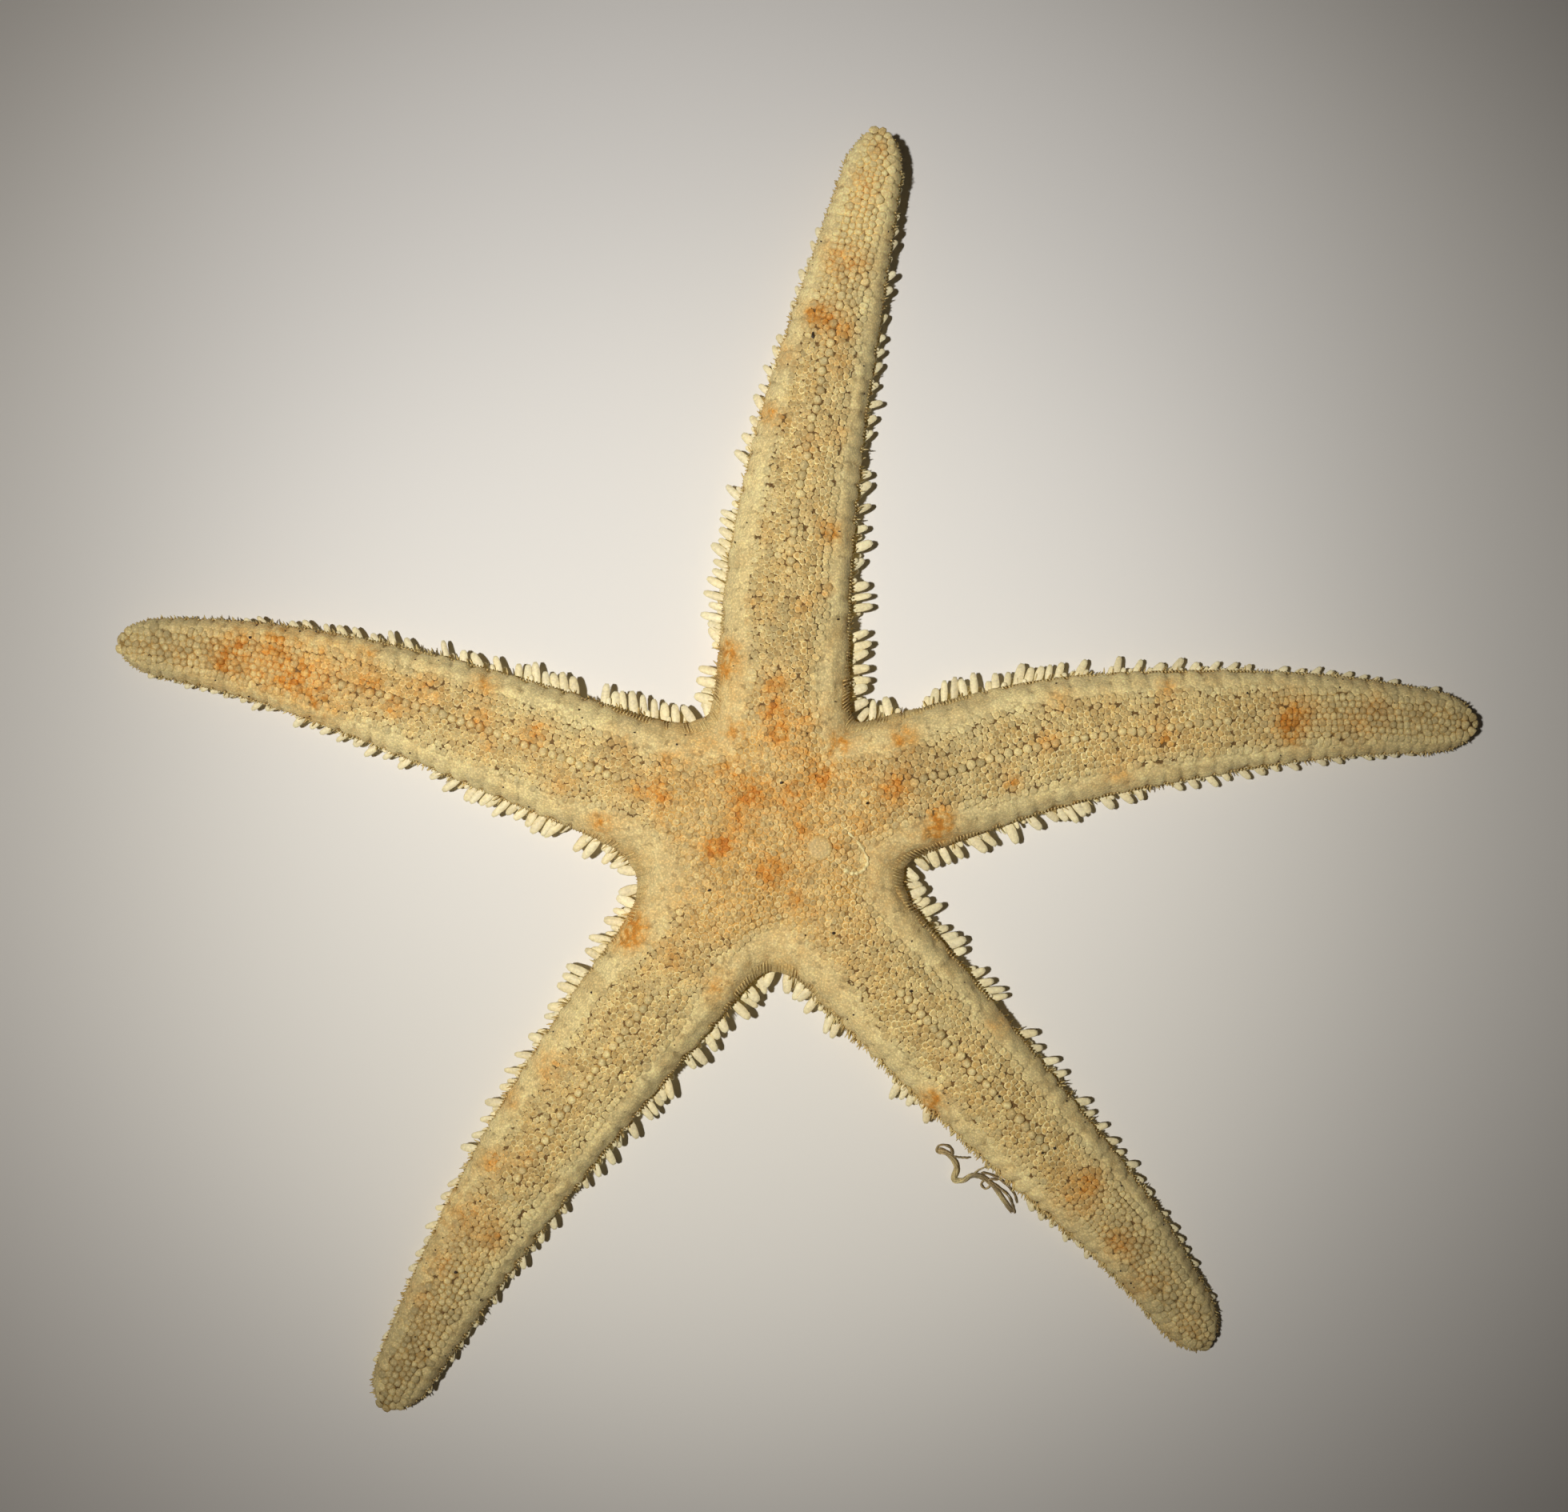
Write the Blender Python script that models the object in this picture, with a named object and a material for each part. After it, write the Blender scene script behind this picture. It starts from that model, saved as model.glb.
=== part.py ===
"""Dried sand star (comb starfish), lying flat on its mouth side with the back upwards.

Each arm is one grid, wrapped round the arm from the furrow underneath, up over the side and the
back, and down the other side. The five grids meet on the lines that run from the disc's centre to
the notches between the arms. The comb of flat edge spines is drawn out of the faces of the side
wall. A twist of dried fibre caught beside one arm is a second piece.
"""

import math

import bmesh
import bpy
import numpy as np
from mathutils import Matrix, Vector

MM = 0.001

# The disc's centre, in mm from the origin, which is the middle of the footprint.
DISC_CENTRE = (-1.8, -4.6)

# The arms, anticlockwise from the right: direction of the tip from the disc's centre in degrees,
# length in mm, sideways bow in mm (left of the way to the tip) at 0, 20, 40, 60, 80 and 100 % of
# the length, breadth against the common taper, and how far the dried tip curls off the table.
ARMS = (
    {"name": "right", "angle": 8.3, "length": 61.8, "bow": (0, 2.1, 3.7, 3.6, 2.5, 0),
     "breadth": 1.03, "tip_lift": 1.4},
    {"name": "upper", "angle": 81.3, "length": 61.3, "bow": (0, 1.3, 2.3, 2.1, 1.1, 0),
     "breadth": 0.98, "tip_lift": 2.6},
    {"name": "left", "angle": 164.3, "length": 59.8, "bow": (0, -0.3, -1.15, -1.8, -1.6, 0),
     "breadth": 0.97, "tip_lift": 0.9},
    {"name": "lower_left", "angle": 236.1, "length": 61.5, "bow": (0, -0.3, -1.2, -1.6, -1.15, 0),
     "breadth": 1.0, "tip_lift": 0.7},
    {"name": "lower_right", "angle": 309.8, "length": 59.4, "bow": (0, -1.0, -0.6, 0.1, 0.8, 0),
     "breadth": 0.98, "tip_lift": 0.3},
)

# Notch between each arm and the next one anticlockwise: direction in degrees, distance in mm.
NOTCHES = ((52.4, 11.5), (121.7, 11.4), (198.3, 12.9), (269.0, 12.6), (342.2, 11.8))
NOTCH_TURN = 1.29

# Half breadth and height of an arm at 0, 20, 40, 60, 80 and 100 % of its length, in mm.
HALF_BREADTH = (6.6, 5.95, 5.4, 4.55, 3.45, 2.2)
HEIGHT = (7.2, 6.9, 5.8, 4.7, 3.7, 2.7)
TIP_ROUNDING = 3.6
TIP_MIDDLE = 0.35
CURL_FROM = 0.55

# Edge plates along each side of an arm, and the size of the last one against the first.
PLATES = 36
LAST_PLATE = 0.55

# Lines along the arm from the middle of its back to the furrow's edge: share of the half breadth,
# and share of the height. The spines stand on the wall between the fourth line and the fifth.
LINES = ((0.0, 1.0), (0.64, 0.92), (0.89, 0.75), (1.0, 0.5), (0.97, 0.2), (0.84, 0.0))
WALL = 3

# Furrow under an arm: half its breadth at the mouth and at the tip in mm, and its roof's height.
FURROW = (1.9, 0.6)
FURROW_ROOF = 0.34

# The cross-sections swing from the notch lines until they stand square at this distance in mm.
SQUARE_FROM = 16.0
SWING_POWER = 1.5

# Edge spines: length, breadth and thickness in mm and lean to the tip in degrees, each first at
# the notch and then at the tip.
SPINE_LENGTH = (2.6, 0.5)
SPINE_BREADTH = (1.05, 0.5)
SPINE_THICKNESS = (0.45, 0.28)
SPINE_LEAN = (26.0, 60.0)
SPINE_POINT = 0.68
FIRST_SPINE_PLATE = 2
LAST_SPINE_AT = 0.95
MISSING_EVERY = 9

# Stretches where the spines are worn off: arm, side (1 is left of the way to the tip), first and
# last share of the length.
WORN = (
    ("lower_right", -1, 0.28, 0.36),
    ("lower_right", -1, 0.48, 0.66),
    ("lower_right", -1, 0.78, 1.0),
    ("upper", 1, 0.86, 1.0),
    ("left", -1, 0.84, 1.0),
)

# Sieve plate: place from the disc's centre, radius, rise above the back and depth into it, in mm.
SIEVE_PLACE = (3.7, -1.7)
SIEVE_RADIUS = 1.15
SIEVE_RISE = 0.3
SIEVE_DEPTH = 1.2
SIEVE_SIDES = 14

# Fibre: its line in mm from the disc's centre and above the table, and its thickness.
FIBRE_LINE = (
    (14.3, -28.6, 0.30),
    (15.3, -29.1, 0.35),
    (15.9, -30.1, 0.45),
    (15.7, -31.2, 0.35),
    (16.5, -31.3, 0.40),
    (17.2, -30.9, 0.50),
    (18.0, -30.9, 0.55),
    (18.9, -31.5, 0.50),
    (19.6, -32.3, 0.40),
    (20.3, -33.3, 0.35),
    (20.9, -34.2, 0.30),
)
FIBRE_THICKNESS = 0.5

BACK_COLOUR = (0.56, 0.40, 0.19, 1.0)
FIBRE_COLOUR = (0.19, 0.16, 0.11, 1.0)


def clear_scene():
    for obj in list(bpy.data.objects):
        bpy.data.objects.remove(obj)


def through(values, share):
    """Smooth curve through evenly spaced values, read at shares from 0 to 1."""
    values = np.asarray(values, float)
    knots = np.concatenate([[2 * values[0] - values[1]], values, [2 * values[-1] - values[-2]]])
    place = np.clip(share, 0, 1) * (len(values) - 1)
    first = np.minimum(place.astype(int), len(values) - 2)
    f = place - first
    a, b, c, d = (knots[first + k] for k in range(4))
    return b + 0.5 * f * (c - a + f * (2 * a - 5 * b + 4 * c - d + f * (3 * (b - c) + d - a)))


def between(ends, share):
    return ends[0] + (ends[1] - ends[0]) * share


def middle_line(arm, share):
    """Points of an arm's middle line in plan, and the unit vectors to its left."""
    angle = math.radians(arm["angle"])
    ahead = np.array([math.cos(angle), math.sin(angle)])
    left = np.array([-ahead[1], ahead[0]])

    def points(s):
        return np.outer(s * arm["length"], ahead) + np.outer(through(arm["bow"], s), left)

    step = 0.001
    way = points(np.clip(share + step, 0, 1)) - points(np.clip(share - step, 0, 1))
    way /= np.linalg.norm(way, axis=1)[:, None]
    return points(share), np.column_stack([-way[:, 1], way[:, 0]])


def notch_point(index):
    angle, distance = NOTCHES[index]
    return distance * np.array([math.cos(math.radians(angle)), math.sin(math.radians(angle))])


def edge_line(arm, side, notch):
    """Joints between the edge plates, from the notch to the tip, and their shares of the length."""
    near = np.linspace(0.02, 0.4, 800)
    points, left = middle_line(arm, near)
    ahead = np.column_stack([left[:, 1], -left[:, 0]])
    first = np.argmin(np.abs(np.sum((notch - points) * ahead, axis=1)))
    start = near[first]
    notch_reach = side * float((notch - points[first]) @ left[first])

    share = start + (1 - start) * np.linspace(0, 1, 3000)
    reach = arm["breadth"] * through(HALF_BREADTH, share)
    flare = notch_reach - reach[0]
    fade = NOTCH_TURN / max(abs(flare), 0.3)
    reach = reach + flare * np.exp(-(share - start) * arm["length"] * fade)
    reach = reach * tip_round(arm, share)
    points, left = middle_line(arm, share)
    edge = points + side * reach[:, None] * left

    run = np.concatenate([[0], np.cumsum(np.linalg.norm(np.diff(edge, axis=0), axis=1))])
    pitch = np.linspace(1, LAST_PLATE, PLATES)
    stops = np.concatenate([[0], np.cumsum(pitch)]) / pitch.sum() * run[-1]
    joints = np.column_stack([np.interp(stops, run, edge[:, axis]) for axis in (0, 1)])
    joints[0] = notch
    return joints, np.interp(stops, run, share), start


def nearness_to_tip(arm, share):
    return np.clip(1 - (1 - share) * arm["length"] / TIP_ROUNDING, 0, 1)


def tip_round(arm, share):
    return np.sqrt(1 - nearness_to_tip(arm, share) ** 2)


def arm_rows(index):
    """The rows across an arm: middle points, left and right edge points, shares of the length."""
    arm = ARMS[index]
    left_edge, left_share, left_start = edge_line(arm, 1, notch_point(index))
    right_edge, right_share, right_start = edge_line(arm, -1, notch_point(index - 1))
    share = (left_share + right_share) / 2
    start = (left_start + right_start) / 2
    square = SQUARE_FROM / arm["length"]
    swing = np.clip((square - share) / (square - start), 0, 1) ** SWING_POWER
    share = share - start * swing
    middle, _ = middle_line(arm, share)
    return {"middle": middle, "left": left_edge, "right": right_edge, "share": share}


def surface_point(arm, rows, row, column):
    """A point of the skin, in mm. The columns run from the furrow up the left side and back down."""
    turn = len(LINES) + 1
    side = "left" if column < turn else "right"
    line = abs(turn - column)
    share = rows["share"][row]
    middle = rows["middle"][row]
    reach = rows[side][row] - middle
    height = float(through(HEIGHT, np.array([share]))[0] * tip_round(arm, share))
    if line < len(LINES):
        out, up = LINES[line]
    elif line == len(LINES):
        out = min(between(FURROW, share) / max(np.linalg.norm(reach), 0.001), 0.5)
        up = 0.0
    else:
        out = 0.0
        up = FURROW_ROOF
    curl = max(0.0, (share - CURL_FROM) / (1 - CURL_FROM)) ** 2 * arm["tip_lift"]
    nose = TIP_MIDDLE * HEIGHT[-1] * float(nearness_to_tip(arm, share)) ** 2
    x, y = middle + out * reach
    return Vector((x, y, up * height + curl + nose))


def add_arm(bm, arm, rows, plate_mark, side_mark):
    """Adds an arm's grid. The faces of its side wall are marked with their plate and side."""
    turn = len(LINES) + 1
    columns = 2 * turn
    made = bmesh.ops.create_grid(bm, x_segments=columns, y_segments=PLATES, size=1)["verts"]
    place = {}
    for vert in made:
        place[vert] = (round((vert.co.y + 1) / 2 * PLATES), round((vert.co.x + 1) / 2 * columns))
    for face in {face for vert in made for face in vert.link_faces}:
        row = min(place[vert][0] for vert in face.verts)
        column = min(place[vert][1] for vert in face.verts)
        if column == turn - WALL - 1:
            face[plate_mark] = row + 1
            face[side_mark] = 1
        if column == turn + WALL:
            face[plate_mark] = row + 1
            face[side_mark] = -1
    for vert, (row, column) in place.items():
        vert.co = surface_point(arm, rows, row, column) * MM


def is_worn(arm, side, share):
    for name, worn_side, first, last in WORN:
        if name == arm["name"] and worn_side == side and first <= share <= last:
            return True
    return False


def draw_spine(bm, face, along, out, share, plate, length):
    """Draws a flat, blunt spine out of one face of the side wall."""
    breadth = between(SPINE_BREADTH, share)
    thickness = between(SPINE_THICKNESS, share)
    lean = math.radians(between(SPINE_LEAN, share) + 8 * math.cos(1.7 * plate))
    heading = out * math.cos(lean) + along * math.sin(lean)
    across = along * math.cos(lean) - out * math.sin(lean)
    middle = face.calc_center_median()
    steps = (
        (middle + out * 0.1 * MM, along, 1.0),
        (middle + heading * length * MM, across, SPINE_POINT),
    )
    for centre, sideways, size in steps:
        face = bmesh.ops.extrude_discrete_faces(bm, faces=[face])["faces"][0]
        rest = face.calc_center_median()
        corners = []
        for vert in face.verts:
            offset = vert.co - rest
            corners.append((math.copysign(1, offset.dot(sideways)), math.copysign(1, offset.z)))
        for vert, (left, upper) in zip(face.verts, corners):
            half = sideways * left * breadth / 2 + Vector((0, 0, upper * thickness / 2))
            vert.co = centre + half * size * MM


def add_spines(bm, arm, rows, faces, side):
    """Draws the comb of spines along one side of an arm. Some are missing, as on the dried animal."""
    edge = rows["left" if side == 1 else "right"]
    for face, plate in faces:
        share = float(rows["share"][plate] + rows["share"][plate - 1]) / 2
        if plate < FIRST_SPINE_PLATE or share > LAST_SPINE_AT or is_worn(arm, side, share):
            continue
        if (plate + len(arm["name"]) + side) % MISSING_EVERY == 0:
            continue
        x, y = edge[plate] - edge[plate - 1]
        along = Vector((x, y, 0)).normalized()
        out = Vector((-along.y, along.x, 0)) * side
        length = between(SPINE_LENGTH, share) * (1 + 0.18 * math.sin(2.4 * plate + side))
        draw_spine(bm, face, along, out, share, plate, length)


def add_sieve_plate(body):
    """Joins the low round button of the sieve plate to the disc."""
    middle_height = HEIGHT[0]
    bm = bmesh.new()
    bmesh.ops.create_cone(
        bm,
        cap_ends=True,
        segments=SIEVE_SIDES,
        radius1=SIEVE_RADIUS * MM,
        radius2=SIEVE_RADIUS * 0.8 * MM,
        depth=(SIEVE_RISE + SIEVE_DEPTH) * MM,
    )
    x = DISC_CENTRE[0] + SIEVE_PLACE[0]
    y = DISC_CENTRE[1] + SIEVE_PLACE[1]
    z = middle_height + (SIEVE_RISE - SIEVE_DEPTH) / 2
    bmesh.ops.translate(bm, verts=bm.verts[:], vec=Vector((x, y, z)) * MM)
    button = new_object("sieve_plate_form", bm)
    button.hide_render = True
    button.display_type = "WIRE"
    join = body.modifiers.new("Sieve plate", "BOOLEAN")
    join.operation = "UNION"
    join.solver = "EXACT"
    join.object = button


def new_object(name, bm):
    mesh = bpy.data.meshes.new(name)
    bm.to_mesh(mesh)
    bm.free()
    obj = bpy.data.objects.new(name, mesh)
    bpy.context.scene.collection.objects.link(obj)
    return obj


def material(name, colour, roughness):
    made = bpy.data.materials.new(name)
    made.use_nodes = True
    shader = made.node_tree.nodes["Principled BSDF"]
    shader.inputs["Base Color"].default_value = colour
    shader.inputs["Roughness"].default_value = roughness
    made.diffuse_color = colour
    return made


def build_starfish():
    bm = bmesh.new()
    plate_mark = bm.faces.layers.int.new("plate")
    side_mark = bm.faces.layers.int.new("side")
    for index, arm in enumerate(ARMS):
        rows = arm_rows(index)
        older = set(bm.faces)
        add_arm(bm, arm, rows, plate_mark, side_mark)
        walls = {1: [], -1: []}
        for face in bm.faces:
            if face not in older and face[plate_mark]:
                walls[face[side_mark]].append((face, face[plate_mark]))
        for side, faces in walls.items():
            add_spines(bm, arm, rows, sorted(faces, key=lambda entry: entry[1]), side)
    bmesh.ops.remove_doubles(bm, verts=bm.verts[:], dist=0.00001)
    bmesh.ops.recalc_face_normals(bm, faces=bm.faces[:])
    shift = Vector((DISC_CENTRE[0], DISC_CENTRE[1], 0)) * MM
    bmesh.ops.transform(bm, matrix=Matrix.Translation(shift), verts=bm.verts[:])
    body = new_object("starfish", bm)
    body.data.materials.append(material("dried_skin", BACK_COLOUR, 0.8))
    add_sieve_plate(body)


def build_fibre():
    curve = bpy.data.curves.new("fibre_strand", "CURVE")
    curve.dimensions = "3D"
    curve.bevel_depth = FIBRE_THICKNESS / 2 * MM
    curve.bevel_resolution = 1
    curve.use_fill_caps = True
    line = curve.splines.new("POLY")
    line.points.add(len(FIBRE_LINE) - 1)
    for point, (x, y, z) in zip(line.points, FIBRE_LINE):
        point.co = (*(Vector((x + DISC_CENTRE[0], y + DISC_CENTRE[1], z)) * MM), 1)
    strand = bpy.data.objects.new("fibre_strand", curve)
    bpy.context.scene.collection.objects.link(strand)
    curve.materials.append(material("dried_fibre", FIBRE_COLOUR, 0.9))


clear_scene()
build_starfish()
build_fibre()
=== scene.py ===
"""Dried comb starfish: its plates, grain crowns, edge spines, underside, stains and dirt.

The starfish lies on its mouth side on the height 0. Lengths are worked out in millimetres from the
middle of the disc, and are turned into the frame's metres when a piece's mesh is made. Points of the
skin are found by plate number along an arm and by share across it, the same way the solid is made.
"""

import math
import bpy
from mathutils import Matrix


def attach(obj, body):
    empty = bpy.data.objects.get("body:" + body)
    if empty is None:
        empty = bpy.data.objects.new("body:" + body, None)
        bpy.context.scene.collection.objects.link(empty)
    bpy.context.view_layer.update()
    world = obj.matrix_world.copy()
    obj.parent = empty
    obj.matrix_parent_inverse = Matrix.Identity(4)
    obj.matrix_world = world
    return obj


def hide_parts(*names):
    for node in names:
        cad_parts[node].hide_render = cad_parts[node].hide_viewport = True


bl_info = {
    "name": "Dried comb starfish",
    "version": (1, 0, 0),
    "blender": (4, 5, 0),
    "location": "3D View > Sidebar > Starfish",
    "description": "Builds the skin, grain crowns, spines and underside of a dried comb starfish",
    "category": "Add Mesh",
}

import bmesh
import bpy
import numpy as np
from mathutils import Vector, noise
from mathutils.bvhtree import BVHTree
from mathutils.kdtree import KDTree

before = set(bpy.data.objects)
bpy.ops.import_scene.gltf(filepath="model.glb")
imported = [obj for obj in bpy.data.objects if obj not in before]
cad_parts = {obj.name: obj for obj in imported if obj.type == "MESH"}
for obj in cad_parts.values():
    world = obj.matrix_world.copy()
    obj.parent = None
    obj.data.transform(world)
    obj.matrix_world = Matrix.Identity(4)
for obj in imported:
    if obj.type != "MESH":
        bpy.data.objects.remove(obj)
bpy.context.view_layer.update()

MM = 0.001
UP = np.array([0.0, 0.0, 1.0])

# The disc's centre, in mm from the frame's origin.
DISC_CENTRE = (-1.8, -4.6)

# The arms, anticlockwise from the right: direction of the tip from the disc's centre in degrees,
# length in mm, sideways bow in mm (left of the way to the tip) at 0, 20, 40, 60, 80 and 100 % of
# the length, breadth against the common taper, how far the dried tip curls off the table, and the
# row of beads down the middle: first and last share of the length, and how pale it is.
ARMS = (
    {"name": "right", "angle": 8.3, "length": 61.8, "bow": (0, 2.1, 3.7, 3.6, 2.5, 0),
     "breadth": 1.03, "tip_lift": 1.4, "beads": (0.2, 0.66, 1.0)},
    {"name": "upper", "angle": 81.3, "length": 61.3, "bow": (0, 1.3, 2.3, 2.1, 1.1, 0),
     "breadth": 0.98, "tip_lift": 2.6, "beads": (0.36, 0.76, 0.9)},
    {"name": "left", "angle": 164.3, "length": 59.8, "bow": (0, -0.3, -1.15, -1.8, -1.6, 0),
     "breadth": 0.97, "tip_lift": 0.9, "beads": (0.24, 0.72, 0.9)},
    {"name": "lower_left", "angle": 236.1, "length": 61.5, "bow": (0, -0.3, -1.2, -1.6, -1.15, 0),
     "breadth": 1.0, "tip_lift": 0.7, "beads": (0.3, 0.62, 0.25)},
    {"name": "lower_right", "angle": 309.8, "length": 59.4, "bow": (0, -1.0, -0.6, 0.1, 0.8, 0),
     "breadth": 0.98, "tip_lift": 0.3, "beads": (0.3, 0.62, 0.35)},
)

# Notch between each arm and the next one anticlockwise: direction in degrees, distance in mm.
NOTCHES = ((52.4, 11.5), (121.7, 11.4), (198.3, 12.9), (269.0, 12.6), (342.2, 11.8))
NOTCH_TURN = 1.29

# Half breadth and height of an arm at 0, 20, 40, 60, 80 and 100 % of its length, in mm.
HALF_BREADTH = (6.6, 5.95, 5.4, 4.55, 3.45, 2.2)
HEIGHT = (7.0, 6.7, 5.65, 4.6, 3.6, 2.6)
TIP_ROUNDING = 3.6
TIP_MIDDLE = 0.35
CURL_FROM = 0.55

# Edge plates along each side of an arm, and the size of the last one against the first.
PLATES = 36
LAST_PLATE = 0.55

# The section of half an arm, from the middle of the back over the shoulder and down the side
# wall to the rim underneath: shares of the half breadth and of the height.
SECTION_OUT = (0.0, 0.34, 0.64, 0.79, 0.89, 0.96, 1.0, 1.0, 0.97, 0.92, 0.84)
SECTION_UP = (1.0, 0.985, 0.925, 0.86, 0.745, 0.61, 0.46, 0.31, 0.17, 0.07, 0.03)

# Places round that section, from 0 at the middle of the back to 1 at the rim underneath: where the
# top plates turn down into the wall (by the notch and far out), and the groove between the top and
# bottom edge plates.
WALL_FROM = (0.41, 0.54)
PLATE_GROOVE = 0.64

# Furrow under an arm: half its breadth at the mouth and at the tip in mm, and its roof's height.
FURROW = (1.9, 0.6)
FURROW_ROOF = 0.34

# Height of the underside beside the furrows, and the lowest height of any point, in mm.
UNDERSIDE = 0.24
LOWEST = 0.03

# Turns, as explained at the function surface: where the furrow's spines and its tube feet stand.
FURROW_EDGE = 1.47
FEET_AT = 1.72

# The cross-sections swing from the notch lines until they stand square at this distance in mm.
SQUARE_FROM = 16.0
SWING_POWER = 1.5

# Rows across each edge plate, as shares of the plate from one joint to the next, and columns on
# the grain area, the edge plates, the underside and the furrow's wall.
PLATE_ROWS = (0.0, 0.1, 0.32, 0.68, 0.9)
COLUMNS = (10, 22, 9, 6)

# Stretches where the spines are worn off: arm, side (1 is left of the way to the tip), first and
# last share of the length.
WORN = (
    ("lower_right", -1, 0.28, 0.36),
    ("lower_right", 1, 0.40, 0.46),
    ("lower_right", -1, 0.48, 0.66),
    ("lower_right", -1, 0.78, 1.0),
    ("upper", 1, 0.86, 1.0),
    ("left", -1, 0.84, 1.0),
)

# The main spines: one in this many is missing, the first plate that has one, and the share of the
# length where they end.
MISSING_EVERY = 9
FIRST_SPINE_PLATE = 2
LAST_SPINE_AT = 0.95

# The side along which thin spinelets stand out as a frayed fringe.
FRAYED = ("lower_right", -1)

# Where the sieve plate stands, in mm from the disc's centre, its radius, its profile as shares of
# the radius and heights in mm, and the gap between it and the crowns.
SIEVE_PLACE = (3.75, -1.7)
SIEVE_RADIUS = 1.15
SIEVE_PROFILE = (
    (0, 0.2), (0.25, 0.2), (0.5, 0.19), (0.72, 0.16), (0.88, 0.11), (0.97, 0.03), (1, -0.5),
)
SIEVE_MARGIN = 0.12

# Breadth in mm of the small irregular plates between the grain crowns and the wall.
PLATELET = 1.45

# The pale thread of joined crowns beside it, as it shows from the camera.
THREAD_LINE = ((5.8, 0.3), (6.4, -0.6), (7.2, -1.4), (7.9, -2.5), (8.1, -3.4), (7.5, -4.1),
               (6.7, -4.2), (6.0, -3.9))

# Camera in mm: where it stands over the table, and the breadth of table that it sees.
CAMERA_PLACE = (-1.09, 1.56, 220.0)
SEEN_BREADTH = 138.8
SENSOR_BREADTH = 36.0

# How far the marks below reach past their noted radii.
SPREAD = 1.3

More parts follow.
